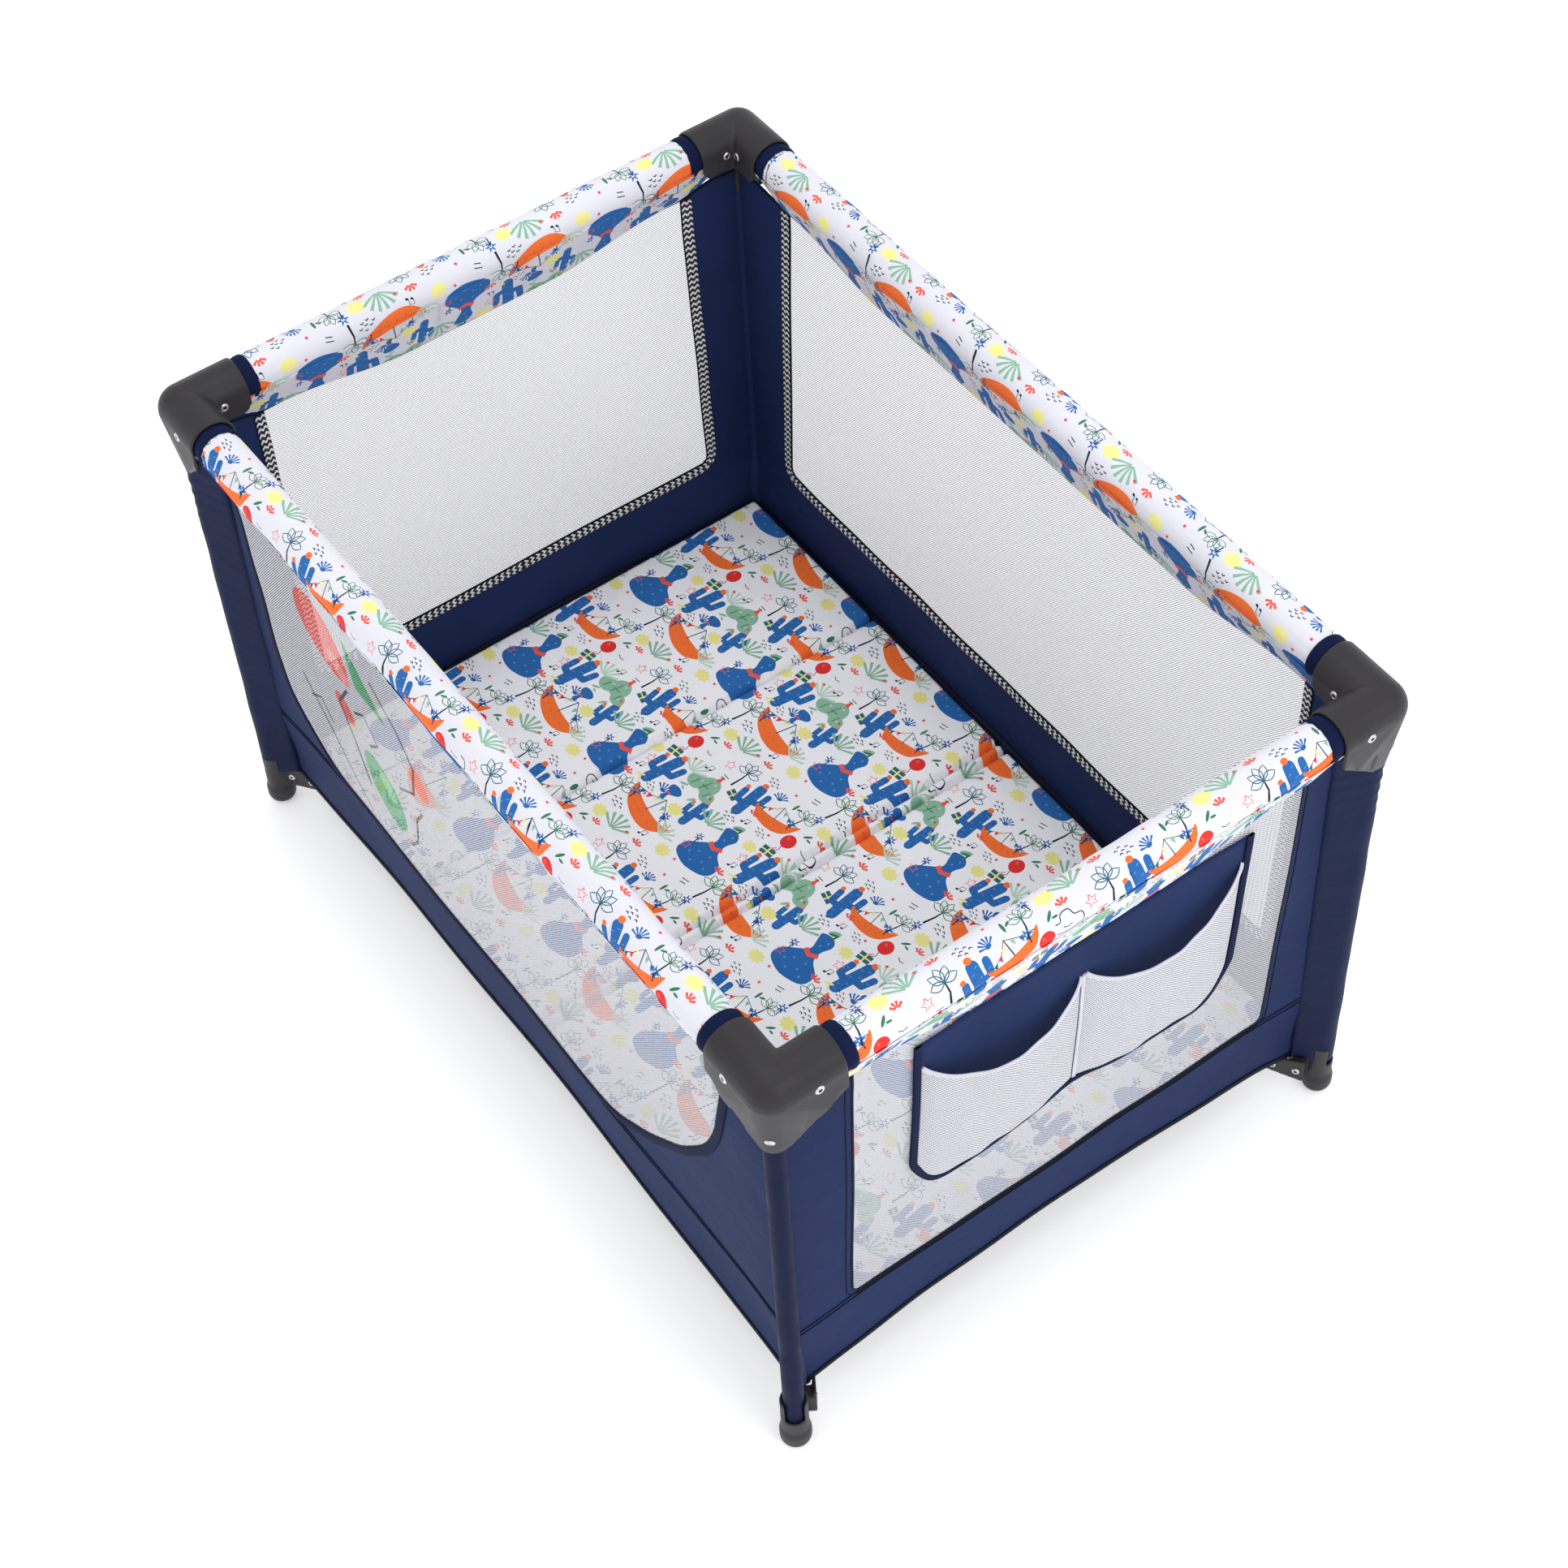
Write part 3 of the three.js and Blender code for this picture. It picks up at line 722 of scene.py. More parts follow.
def sprig(colour):
    return [(oval(0, 0, 6.5, 1.9, 0.5, 12), colour), (oval(4, -5, 4, 1.4, -0.4, 12), colour)]


TILE = 0.208  # side of one repeat of the print, in metres
# Each motif with its places on one repeat: x, y, turn in degrees, and scale.
TILE_MOTIFS = [
    (gourd(), [(50, 62, 4, 1.45)]),
    (boat(), [(152, 34, -10, 1.25)]),
    (cactus(), [(112, 92, -6, 1.25), (14, 152, 8, 1.15), (196, 82, 5, 0.95)]),
    (bush(), [(166, 116, 0, 1.2)]),
    (boat(), [(60, 156, 14, 0.95)]),
    (balloon(), [(100, 152, 0, 1.2)]),
    (cloud(), [(128, 158, -6, 1.15)]),
    (palm(), [(100, 34, 0, 1.25)]),
    (palm("teal"), [(186, 176, 6, 1.2)]),
    (palm(), [(84, 190, -6, 1.0)]),
    (fern(), [(12, 84, 0, 1.05)]),
    (fern("mint"), [(136, 118, 0, 1.0)]),
    (fern(), [(150, 190, 5, 1.1)]),
    (fern("mint"), [(196, 26, -8, 0.9)]),
    (gift(), [(96, 122, 10, 1.1), (202, 140, -12, 1.0)]),
    (shell(), [(140, 70, 0, 1.1), (38, 182, 20, 1.0)]),
    (gourd(), [(150, 78, 170, 0.5)]),
    (sun(), [(76, 108, 0, 1.0), (176, 66, 0, 1.1), (118, 196, 0, 1.1), (12, 16, 0, 1.1)]),
    (bubble(), [(70, 10, 10, 1.1), (172, 148, -6, 1.0)]),
    (notes(), [(82, 70, 0, 1.0), (144, 138, 0, 1.0), (36, 124, 0, 1.0), (178, 8, 0, 1.0)]),
    (birds(), [(120, 12, 0, 1.1), (20, 114, 10, 1.0), (124, 62, -8, 0.9), (66, 130, 0, 0.9),
               (12, 192, 0, 1.0)]),
    (star(8, "coral", 1.1), [(86, 90, 0, 1.0), (160, 166, 12, 1.0), (22, 46, 12, 0.9)]),
    (star(3, "red"), [(34, 20, 0, 1.0), (130, 50, 0, 1.0), (76, 138, 0, 1.0), (190, 112, 0, 1.0),
                      (124, 136, 0, 1.0), (46, 204, 0, 1.0), (168, 204, 0, 1.0)]),
    (sprig("green"), [(46, 112, 0, 1.1)]),
    (sprig("sage"), [(148, 100, 0, 1.0)]),
    (sprig("green"), [(110, 176, 20, 1.0)]),
    (sprig("yellow"), [(100, 64, 0, 1.1)]),
    (sprig("green"), [(62, 192, 60, 1.0)]),
    (sprig("sage"), [(176, 92, 30, 1.0)]),
    (flame(), [(84, 50, 0, 1.1), (190, 200, 0, 1.1), (36, 140, 0, 1.0), (130, 178, 0, 1.0)]),
    (small_palm(), [(120, 44, 0, 1.1), (24, 66, 0, 0.9), (96, 204, 0, 1.0), (178, 50, 0, 1.0),
                    (80, 172, 0, 0.9)]),
]


def tile_outlines():
    """Every outline of one tile in metres, with its colour."""
    out = []
    for motif, places in TILE_MOTIFS:
        for x, y, degrees, scale in places:
            c, s = math.cos(math.radians(degrees)) * scale, math.sin(math.radians(degrees)) * scale
            for points, colour in motif:
                out.append(([((x + px * c - py * s) / 1000, (y + px * s + py * c) / 1000)
                             for px, py in points], colour))
    return out


TILE_OUTLINES = tile_outlines()


def clipped(points, low, high):
    """An outline cut to a box."""
    for axis in (0, 1):
        for limit, sign in ((low[axis], 1), (high[axis], -1)):
            kept = []
            for i, p in enumerate(points):
                q = points[i - 1]
                p_in, q_in = (p[axis] - limit) * sign >= 0, (q[axis] - limit) * sign >= 0
                if p_in != q_in:
                    t = (limit - q[axis]) / (p[axis] - q[axis])
                    kept.append((q[0] + (p[0] - q[0]) * t, q[1] + (p[1] - q[1]) * t))
                if p_in:
                    kept.append(p)
            points = kept
            if len(points) < 3:
                return []
    return points


def inside(outline, points):
    """Which points lie inside a closed outline."""
    u, v = points[:, 0], points[:, 1]
    result = np.zeros(len(points), bool)
    for i, (bx, by) in enumerate(outline):
        ax, ay = outline[i - 1]
        if ay == by:
            continue
        crosses = (ay > v) != (by > v)
        result ^= crosses & (u < (bx - ax) * (v - ay) / (by - ay) + ax)
    return result


def dense(outline, step):
    """A closed outline with extra points, so that no edge is longer than step."""
    out = []
    for i, b in enumerate(outline):
        a = outline[i - 1]
        parts = max(1, math.ceil(math.hypot(b[0] - a[0], b[1] - a[1]) / step))
        out += [(a[0] + (b[0] - a[0]) * k / parts, a[1] + (b[1] - a[1]) * k / parts) for k in range(parts)]
    return out


def turned_left(outline):
    """The outline, running anticlockwise."""
    area = sum(outline[i - 1][0] * p[1] - p[0] * outline[i - 1][1] for i, p in enumerate(outline))
    return outline if area > 0 else outline[::-1]


def cut_cloth(outline, shapes, steps):
    """A flat cut of cloth as points and triangles. shapes is (outline, tag) drawn on it;
    the tag of each triangle comes back too, None on the plain ground."""
    rim = turned_left(dense(outline, min(steps)))
    low = tuple(min(p[k] for p in outline) for k in (0, 1))
    high = tuple(max(p[k] for p in outline) for k in (0, 1))
    points, faces, tags = list(rim), [list(range(len(rim)))], [None]
    for shape, tag in shapes:
        cut = turned_left(clipped(shape, low, high))
        if len(cut) > 2:
            faces.append(list(range(len(points), len(points) + len(cut))))
            points += cut
            tags.append(tag)
    counts = [max(2, round((high[k] - low[k]) / steps[k])) for k in (0, 1)]
    us = np.linspace(low[0], high[0], counts[0] + 1)[1:-1]
    vs = np.linspace(low[1], high[1], counts[1] + 1)[1:-1]
    grid = np.array([(u, v) for u in us for v in vs]).reshape(-1, 2)
    grid = grid[inside(outline, grid)]
    points += [tuple(p) for p in grid]
    result = delaunay_2d_cdt([Vector(p) for p in points], [], faces, 0, 1e-6, True)
    triangles, found = [], []
    for triangle, owners in zip(result[2], result[5]):
        if 0 in owners:
            triangles.append(triangle)
            found.append(tags[max(owners)])
    return np.array([tuple(p) for p in result[0]]), triangles, found


def compact(points, triangles):
    """Only the points that the triangles use."""
    used = sorted({i for t in triangles for i in t})
    place = {old: new for new, old in enumerate(used)}
    return points[used], [tuple(place[i] for i in t) for t in triangles]


def printed(name, outline, lay, steps, start=(0.0, 0.0), ground="white", lines=()):
    """A printed sheet: outline is its flat cut, and lay turns flat points into space.
    lines are closed outlines that its triangles don't cross."""
    plain = PRINT_NAMES.index(ground)
    low = [min(p[k] for p in outline) + start[k] for k in (0, 1)]
    high = [max(p[k] for p in outline) + start[k] for k in (0, 1)]
    shapes = [(line, plain) for line in lines]
    for i in range(math.floor(low[0] / TILE) - 1, math.ceil(high[0] / TILE) + 1):
        for j in range(math.floor(low[1] / TILE) - 1, math.ceil(high[1] / TILE) + 1):
            du, dv = i * TILE - start[0], j * TILE - start[1]
            for shape, colour in TILE_OUTLINES:
                shapes.append(([(u + du, v + dv) for u, v in shape], PRINT_NAMES.index(colour)))
    points, triangles, tags = cut_cloth(outline, shapes, steps)
    points, triangles = compact(points, triangles)
    return make(name, lay(points[:, 0], points[:, 1]), triangles, print_materials,
                [t or plain for t in tags], points)


# ---- where a side's cloth lies ----
def side_number(side):
    return list(SIDES).index(side)


def on_side(side, along, out, z):
    """Space points from the place along a side, the distance out of its plane, and height."""
    along, out, z = np.broadcast_arrays(*(np.asarray(x, float) for x in (along, out, z)))
    if side == "front":
        return np.stack([along, -LEG_Y - out, z], -1)
    if side == "rear":
        return np.stack([along, LEG_Y + out, z], -1)
    if side == "left":
        return np.stack([-LEG_X - out, along, z], -1)
    return np.stack([LEG_X + out, along, z], -1)


def outward(side):
    return Vector({"front": (0, -1, 0), "rear": (0, 1, 0), "left": (-1, 0, 0), "right": (1, 0, 0)}[side])


def border(side, along):
    """Height of the line where the printed skirt meets the wall."""
    gap = SIDES[side]["half"] - np.abs(along)
    z = np.full(np.shape(gap), BORDER_Z)
    for far, near, rise in BORDER_RISE:
        z = z + rise * (1 - smoothstep(near, far, gap))
    return z


def hem(side, along):
    """Height of a wall's lower edge, an arch between its legs."""
    share = np.abs(along) / SIDES[side]["half"]
    return WALL_LOW + HEM_RISE * (1 - share ** 2)


def wall_fall(z):
    """How far down a wall a height is: 0 at the border, 1 at the foot."""
    return np.clip((BORDER_Z - z) / (BORDER_Z - WALL_LOW), 0.0, 1.0)


def corner_inset(z):
    """How far in from a leg's axis the walls beside it end."""
    return FOOT_INSET + (CORNER_INSET - FOOT_INSET) * smoothstep(*FOOT_TOP, z)


def wall_point(side, along, z, lift=0.0):
    """A point of a wall: it slopes in towards its foot and is gathered behind the legs."""
    half = SIDES[side]["half"]
    along = np.asarray(along, float)
    near = smoothstep(half - 0.12, half, np.abs(along))
    corner = corner_inset(z)
    inset = WALL_INSET * wall_fall(z) * (1 - near) + corner * near
    gather = corner * smoothstep(half - 0.10, half, np.abs(along))
    free = np.clip((half - np.abs(along)) / 0.05, 0, 1) * smoothstep(0.0, 0.03, BORDER_Z - z)
    drape = 0.0016 * ripple(along, np.asarray(z, float), 0.21, 1 + side_number(side)) * free
    return on_side(side, along - np.sign(along) * gather, lift - inset + drape, z)


def ride_wall(piece, side, sign):
    """Rides on its leg, on a mesh of its own."""
    kind, corner = SIDES[side]["kind"], SIDES[side]["ends"][sign]
    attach(piece, "leg_" + corner)
    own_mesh(piece)
    return piece


def declare(piece):
    """Reads a sheet's flat cut from its flat attribute, and does nothing more with it."""
    flat = np.zeros(len(piece.data.vertices) * 3, np.float32)
    piece.data.attributes["flat"].data.foreach_get("vector", flat)


# ---- printed rolls and skirts ----
def roll_lay(side, start):
    """Lays flat cloth around a rail; it is drawn in at start, the place of its bound end."""
    seed = 3 + side_number(side)

    def lay(u, v):
        turn = -v / ROLL_RADIUS
        radius = ROLL_RADIUS + 0.0005 * ripple(u, v, 0.07, seed)
        if start is not None:
            gap = np.abs(u - start)
            radius = radius - 0.0016 * np.exp(-gap / 0.006)
            radius = radius + 0.0007 * np.exp(-gap / 0.022) * np.sin(13 * turn + seed)
        return on_side(side, u, radius * np.sin(turn), RAIL_Z + radius * np.cos(turn))

    return lay


SPLIT_V = ROLL_SPLIT * ROLL_RADIUS
SKIRT_V = TANGENT * ROLL_RADIUS
SKIRT_TOP = RAIL_Z + (ROLL_RADIUS + SKIRT_CLEAR) * math.cos(TANGENT)
SKIRT_OUT = (ROLL_RADIUS + SKIRT_CLEAR) * math.sin(TANGENT)


def skirt_length(side, along):
    """How far cloth runs from the roll's side down to the border."""
    return np.hypot(SKIRT_TOP - border(side, along), SKIRT_OUT - SKIRT_SEAM)


def skirt_lay(side, face):
    """Lays a skirt from its roll's side down to the border; face is 1 outside, -1 inside."""
    seed = 8 + side_number(side)

    def lay(u, v):
        share = (np.abs(v) - SKIRT_V) / skirt_length(side, u)
        out = SKIRT_OUT + (SKIRT_SEAM - SKIRT_OUT) * share
        drop = SKIRT_TOP - (SKIRT_TOP - border(side, u)) * share - RAIL_Z
        clear = np.maximum(1.0, (ROLL_RADIUS + SKIRT_CLEAR) / np.hypot(out, drop))
        wave = 0.0012 * ripple(u, v, 0.16, seed) * smoothstep(0.1, 0.5, share) * smoothstep(1.0, 0.85, share)
        return on_side(side, u, face * out * clear + wave, RAIL_Z + drop * clear)

    return lay


def skirt_outline(side, low, high, face):
    """The flat cut of a skirt between two places along a side."""
    places = np.linspace(low, high, max(3, math.ceil((high - low) / 0.012)))
    top = [(float(u), -face * SKIRT_V) for u in places]
    foot = [(float(u), -face * float(SKIRT_V + skirt_length(side, u) + 0.001)) for u in places]
    return top + foot[::-1]


def printed_rail(side, tag, low, high, body, start=None, nodes=()):
    """One length of padded rail cover with its two skirts."""
    box = [(low, -SPLIT_V), (high, -SPLIT_V), (high, SPLIT_V), (low, SPLIT_V)]
    offset = (0.7 + 0.31 * side_number(side), 0.4)
    roll = printed(f"rail_cover_{tag}", box, roll_lay(side, start), (0.009, 0.0042), offset)
    attached(roll, body, "printed_fabric", *nodes)
    half = SIDES[side]["half"]
    low, high = (place + math.copysign(ROLL_START - SKIRT_START, place) * (abs(place) > half - 0.1)
                 for place in (low, high))
    for face, word in ((1, "outer"), (-1, "inner")):
        skirt = printed(f"rail_skirt_{word}_{tag}", skirt_outline(side, low, high, face),
                        skirt_lay(side, face), (0.009, 0.008), offset)
        attached(solid(skirt, CLOTH), body, "printed_fabric")
        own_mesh(skirt)
        declare(skirt)


def rail_binding(side, sign, corner):
    """The bound end of a rail cover, drawn in around its rail beside the cap."""
    half, kind = SIDES[side]["half"], SIDES[side]["kind"]
    turns = np.linspace(0, 2 * math.pi, 49)[:-1]
    rings = [(BINDING[0][0], RAIL_HOLE)] + [(gap, ROLL_RADIUS + grow) for gap, grow in BINDING]
    rows = [on_side(side, sign * (half - gap), radius * np.sin(turns), RAIL_Z + radius * np.cos(turns))
            for gap, radius in rings]
    flat = [(0.004 * i, 0.0034 * j) for i in range(len(rows)) for j in range(len(turns))]
    piece = make(f"rail_binding_{kind}_{corner}", np.concatenate(rows), tube_faces(len(rows), len(turns)),
                 [navy_binding], flat=flat)
    attached(piece, f"{kind}_rail_{corner}", "navy_fabric")


def rail_covers(side):
    half, kind = SIDES[side]["half"], SIDES[side]["kind"]
    printed_rail(side, side + "_middle", -SLEEVE_HALF, SLEEVE_HALF, "latch_" + side)
    for sign, corner in SIDES[side]["ends"].items():
        bound = sign * (half - ROLL_START)
        low, high = sorted([sign * SLEEVE_HALF, bound])
        printed_rail(side, f"{kind}_{corner}", low, high, f"{kind}_rail_{corner}", bound,
                     [f"{kind}_pad_{corner}"])
        rail_binding(side, sign, corner)


# ---- walls ----
def rounded(path, radius):
    """An open path with its corners rounded."""
    out = [path[0]]
    for a, b, c in zip(path, path[1:], path[2:]):
        before, after = Vector(a) - Vector(b), Vector(c) - Vector(b)
        r = min(radius, before.length * 0.45, after.length * 0.45)
        p, q = Vector(b) + before.normalized() * r, Vector(b) + after.normalized() * r
        for k in range(6):
            t = k / 5
            out.append(tuple(p * (1 - t) ** 2 + Vector(b) * 2 * t * (1 - t) + q * t * t))
    out.append(path[-1])
    return out


def spaced(path, step):
    """An open path resampled at equal steps."""
    points = np.array(path, float)
    runs = np.concatenate([[0], np.cumsum(np.linalg.norm(np.diff(points, axis=0), axis=1))])
    wanted = np.linspace(0, runs[-1], max(2, math.ceil(runs[-1] / step)) + 1)
    columns = [np.interp(wanted, runs, points[:, k]) for k in range(points.shape[1])]
    return list(zip(*columns))


def window_path(side, sign):
    """The window's lower rim on one half wall, from its top to the middle of the side."""
    radius = 0.03 if side == "front" else 0.012
    path = spaced(rounded(WINDOWS.get((side, sign), WINDOWS[side, -1]), radius), 0.009)
    keep = [(u, z) for u, z in path if z < float(border(side, u)) - 0.001]
    top_u = keep[0][0]
    return [(sign * u, z) for u, z in [(top_u, float(border(side, top_u)))] + keep]


def wall_frames(side, path, lift, shift):
    """Frames for sweep() along a path on a wall; shift moves it sideways, away from the window."""
    us, zs = np.array([p[0] for p in path]), np.array([p[1] for p in path])
    du, dz = np.gradient(us), np.gradient(zs)
    size = np.hypot(du, dz)
    nu, nz = -dz / size, du / size
    centre_u, centre_z = us + nu * shift, zs + nz * shift
    spots = wall_point(side, centre_u, centre_z, lift)
    sides = wall_point(side, centre_u + nu * 0.002, centre_z + nz * 0.002, lift) - spots
    return [(Vector(spot), Vector(across).normalized(), outward(side)) for spot, across in zip(spots, sides)]


def net_motifs():
    """Large prints on the front netting, in metres: balloons, a pennant and loose lines."""
    filled = [
        (oval(-0.330, 0.563, 0.052, 0.066, 0.5, 28), "red"),
        (oval(-0.300, 0.530, 0.020, 0.028, 0.5, 18), "rose"),
        (oval(-0.256, 0.336, 0.040, 0.060, 0.4, 28), "green"),
        (oval(-0.246, 0.352, 0.016, 0.026, 0.4, 18), "lime"),
        ([(-0.268, 0.618), (-0.196, 0.520), (-0.262, 0.530)], "green"),
        (oval(-0.318, 0.436, 0.019, 0.026, 0.5, 16), "red"),
        (oval(-0.140, 0.470, 0.020, 0.028, 0.5, 16), "rose"),
    ]
    lines = [
        (0.0052, [(-0.295, 0.492), (-0.330, 0.440), (-0.318, 0.380), (-0.300, 0.300)]),
        (0.0052, [(-0.212, 0.590), (-0.170, 0.540), (-0.146, 0.490), (-0.160, 0.430), (-0.205, 0.395)]),
        (0.0052, [(-0.290, 0.455), (-0.262, 0.478), (-0.240, 0.440), (-0.268, 0.412)]),
        (0.0044, [(-0.430, 0.400), (-0.390, 0.330), (-0.350, 0.270), (-0.320, 0.225)]),
        (0.0048, [(-0.214, 0.270), (-0.190, 0.300), (-0.176, 0.360), (-0.150, 0.400)]),
        (0.0044, [(-0.420, 0.365), (-0.392, 0.385), (-0.375, 0.350)]),
    ]
    return filled + [(stroke(line, width), "ink") for width, line in lines]


def wall_sheet(name, side, points, triangles, materials, picks=None):
    flat, faces = compact(points, triangles)
    return make(name, wall_point(side, flat[:, 0], flat[:, 1]), faces, materials, picks, flat)


def wall_top(side, end, least):
    """The wall's upper edge from the middle of a side to a place along it, under the skirt."""
    places = np.linspace(0, end, max(least, math.ceil(abs(end) / 0.02)))
    return [(float(u), float(border(side, u)) + SKIRT_LAP) for u in places]


def wall(side, sign, corner):
    """One half of a side's wall: its cloth, the netting of its window, and their trims."""
    half, kind = SIDES[side]["half"], SIDES[side]["kind"]
    tag = f"{kind}_{corner}"
    edge = window_path(side, sign)
    top = wall_top(side, sign * half, 8)
    foot = [(u, float(hem(side, u))) for u, _ in top]
    shapes = [(wall_top(side, edge[0][0], 6) + edge, "net")]
    if side == "front" and sign < 0:
        shapes += net_motifs()
    points, triangles, tags = cut_cloth(top + foot[::-1], shapes, (WALL_STEP, WALL_STEP))
    panel = wall_sheet(f"wall_cloth_{tag}", side, points,
                       [t for t, found in zip(triangles, tags) if found is None], [navy_cloth])
    net = wall_sheet(f"wall_net_{tag}", side, points,
                     [t for t, found in zip(triangles, tags) if found is not None], net_materials,
                     [NET_NAMES.index(found) for found in tags if found is not None])
    ride_wall(panel, side, sign)
    ride_wall(net, side, sign)
    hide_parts(f"{kind}_wall_{corner}")
    paths = {"window_seam": edge, "window_edge": edge, "window_tape": edge}
    if side == "front":
        paths["window_binding"] = edge
    paths["hem"] = spaced([(u, z + 0.001) for u, z in foot], 0.014)
    paths["border_piping"] = spaced([(u, z - SKIRT_LAP) for u, z in top], 0.014)
    for k in (0, 1):
        z = BAND_TOP[side] - 0.004 - 0.008 * k
        paths[f"band_seam_{k}"] = spaced([(0.0, z), (sign * (half - 0.003), z)], 0.02)
    for name, path in paths.items():
        lift, shift, section, material = TRIMS[name]
        piece = sweep(f"{name}_{tag}", wall_frames(side, path, lift, sign * shift), section, material)
        ride_wall(piece, side, sign)
    declare(net)


# ---- leg sleeves and corner welts ----
def hull_outline(circles, count=72):
    """Points around the tight outline of some circles (x, y, radius), by direction."""
    out = []
    for turn in circle(count):
        c, s = math.cos(turn), math.sin(turn)
        x, y, r = max(circles, key=lambda one: one[0] * c + one[1] * s + one[2])
        out.append((x + r * c, y + r * s))
    return out


def even_loop(points, count):
    """A closed outline resampled at equal steps, and its length."""
    loop = np.array(points + points[:1])
    runs = np.concatenate([[0], np.cumsum(np.linalg.norm(np.diff(loop, axis=0), axis=1))])
    wanted = np.linspace(0, runs[-1], count + 1)[:-1]
    return np.stack([np.interp(wanted, runs, loop[:, k]) for k in (0, 1)], -1), runs[-1]


def sleeve(corner):
    """Cloth drawn around a leg and both wall edges, wide under the cap and narrow at the foot."""
    flip_x, flip_y = CORNERS[corner]
    heights = np.linspace(*SLEEVE_ENDS, 90)
    count = 64
    turns = np.arange(count) * (2 * math.pi / count)
    rows, flat = [], []
    for z in heights:
        share = (z - heights[0]) / (heights[-1] - heights[0])
        reach, aside = 0.024 + 0.016 * share ** 0.8, 0.018 - 0.006 * share
        circles = [(0, 0, 0.0148), (reach, aside, 0.007), (aside, reach, 0.007)]
        loop, around = even_loop(hull_outline(circles), count)
        centre = loop.mean(axis=0)
        creases = 1 + 0.028 * np.sin(z * 300 + 2.2 * np.sin(turns)) * smoothstep(0.50, 0.66, z)
        creases = creases + 0.02 * ripple(turns * 0.02, np.full(count, z), 0.10, 5)
        for k, (x, y) in enumerate(centre + (loop - centre) * creases[:, None]):
            rows.append((flip_x * (LEG_X - x), flip_y * (LEG_Y - y), z))
            flat.append((around * k / count, z))
    piece = make("leg_sleeve_" + corner, rows, tube_faces(len(heights), count), [navy_sleeve], flat=flat)
    attached(solid(piece, CLOTH), "leg_" + corner, "navy_fabric")
    declare(piece)


def corner_welt(corner):
    """The bound cloth edge behind a bare leg, where two walls meet."""
    flip_x, flip_y = CORNERS[corner]
    heights = np.linspace(*WELT_ENDS, 60)
    turns = np.linspace(0, 2 * math.pi, 25)[:-1]
    count, rows = len(turns), []
    for z in heights:
        inset = float(corner_inset(z))
        radius = min(0.0095, math.hypot(inset, inset) - LEG_RADIUS - 0.0004)
        for t in turns:
            x, y = LEG_X - inset + radius * math.cos(t), LEG_Y - inset + radius * math.sin(t)
            rows.append((flip_x * x, flip_y * y, z))
    faces = tube_faces(len(heights), count)
    faces += [tuple(range(count))[::-1], tuple(range(len(rows) - count, len(rows)))]
    flat = [(j * 0.0012, z) for z in heights for j in range(count)]
    piece = make("corner_welt_" + corner, rows, faces, [navy_cloth], flat=flat)
    attached(piece, "leg_" + corner, "navy_fabric")


# ---- mattress ----
def pad_lay(low, high, seed, edge_low, edge_high):
    """A thin quilted panel: rounded to its rims, crowned, and slightly uneven."""
    def lay(u, v):
        gaps = [(u - low) / edge_low, (high - u) / edge_high,
                (v + MATTRESS_Y) / RIM, (MATTRESS_Y - v) / RIM]
        rise = np.ones(len(u))
        for gap in gaps:
            rise = rise * np.sqrt(np.clip(1 - (1 - np.clip(gap, 0, 1)) ** 2, 0, 1))
        uneven = 0.0008 * ripple(u, v, 0.12, seed) + 0.0005 * ripple(u, v, 0.035, seed + 3)
        z = MATTRESS_LOW + 0.001 + (MATTRESS_TOP - MATTRESS_LOW + uneven) * rise
        return np.stack([u, v, z], -1)
    return lay


def wall_face(side, along):
    """How far from the middle the mattress's base cloth reaches to meet a wall."""
    axis = 1 if SIDES[side]["kind"] == "long" else 0
    return float(np.abs(wall_point(side, along, MATTRESS_LOW)[..., axis])) - APRON_GAP


def base_point(u, v, out_x, out_y):
    """A point of the base cloth; out_x and out_y, -1 or 1, take it on to meet a wall over its hem."""
    x, y, z = u, v, MATTRESS_LOW
    if out_y:
        side = "rear" if out_y > 0 else "front"
        y = out_y * wall_face(side, u)
        z = max(z, float(hem(side, u)) + APRON_LIFT)
    if out_x:
        side = "right" if out_x > 0 else "left"
        x = out_x * wall_face(side, v)
        z = max(z, float(hem(side, y)) + APRON_LIFT)
    return x, y, z


def rectangle(x0, x1, y):
    return [(x0, -y), (x1, -y), (x1, y), (x0, y)]


def mattress_panel(name, low, high, body, seed, rims):
    """One stiff panel of the mattress: its printed pad, and the dark cloth under it."""
    steps = (0.006, 0.006) if high - low > 0.05 else (0.003, 0.006)
    rim_x, rim_y = MATTRESS_X - RIM_BAND, MATTRESS_Y - RIM_BAND
    crest = dense(rectangle(-rim_x, rim_x, rim_y), steps[1])
    top = printed(name, rectangle(low, high, MATTRESS_Y), pad_lay(low, high, seed, *rims), steps,
                  (0.35, 0.1), "pale", [crest])
    # The pad's outer rim takes the dark ink colour: a navy edge, and painted shade where the pad rounds down to
    # the walls.
    for face in top.data.polygons:
        if abs(face.center.y) > rim_y or abs(face.center.x) > rim_x:
            face.material_index = PRINT_NAMES.index("ink")
    attached(top, body, "printed_fabric", body)
    columns = [(u, 0) for u in np.linspace(low, high, 12)]
    if low == -MATTRESS_X:
        columns.insert(0, (low, -1))
    if high == MATTRESS_X:
        columns.append((high, 1))
    rows = [(v, 0) for v in np.linspace(-MATTRESS_Y, MATTRESS_Y, 22)]
    rows = [(-MATTRESS_Y, -1), *rows, (MATTRESS_Y, 1)]
    points = [base_point(u, v, out_x, out_y) for u, out_x in columns for v, out_y in rows]
    count = len(rows)
    faces = [(i * count + j, i * count + j + 1, (i + 1) * count + j + 1, (i + 1) * count + j)
             for i in range(len(columns) - 1) for j in range(count - 1)]
    base = make(name + "_base", points, faces, [pad_base], flat=[(p[0], p[1]) for p in points])
    attached(solid(base, CLOTH), body, "printed_fabric")


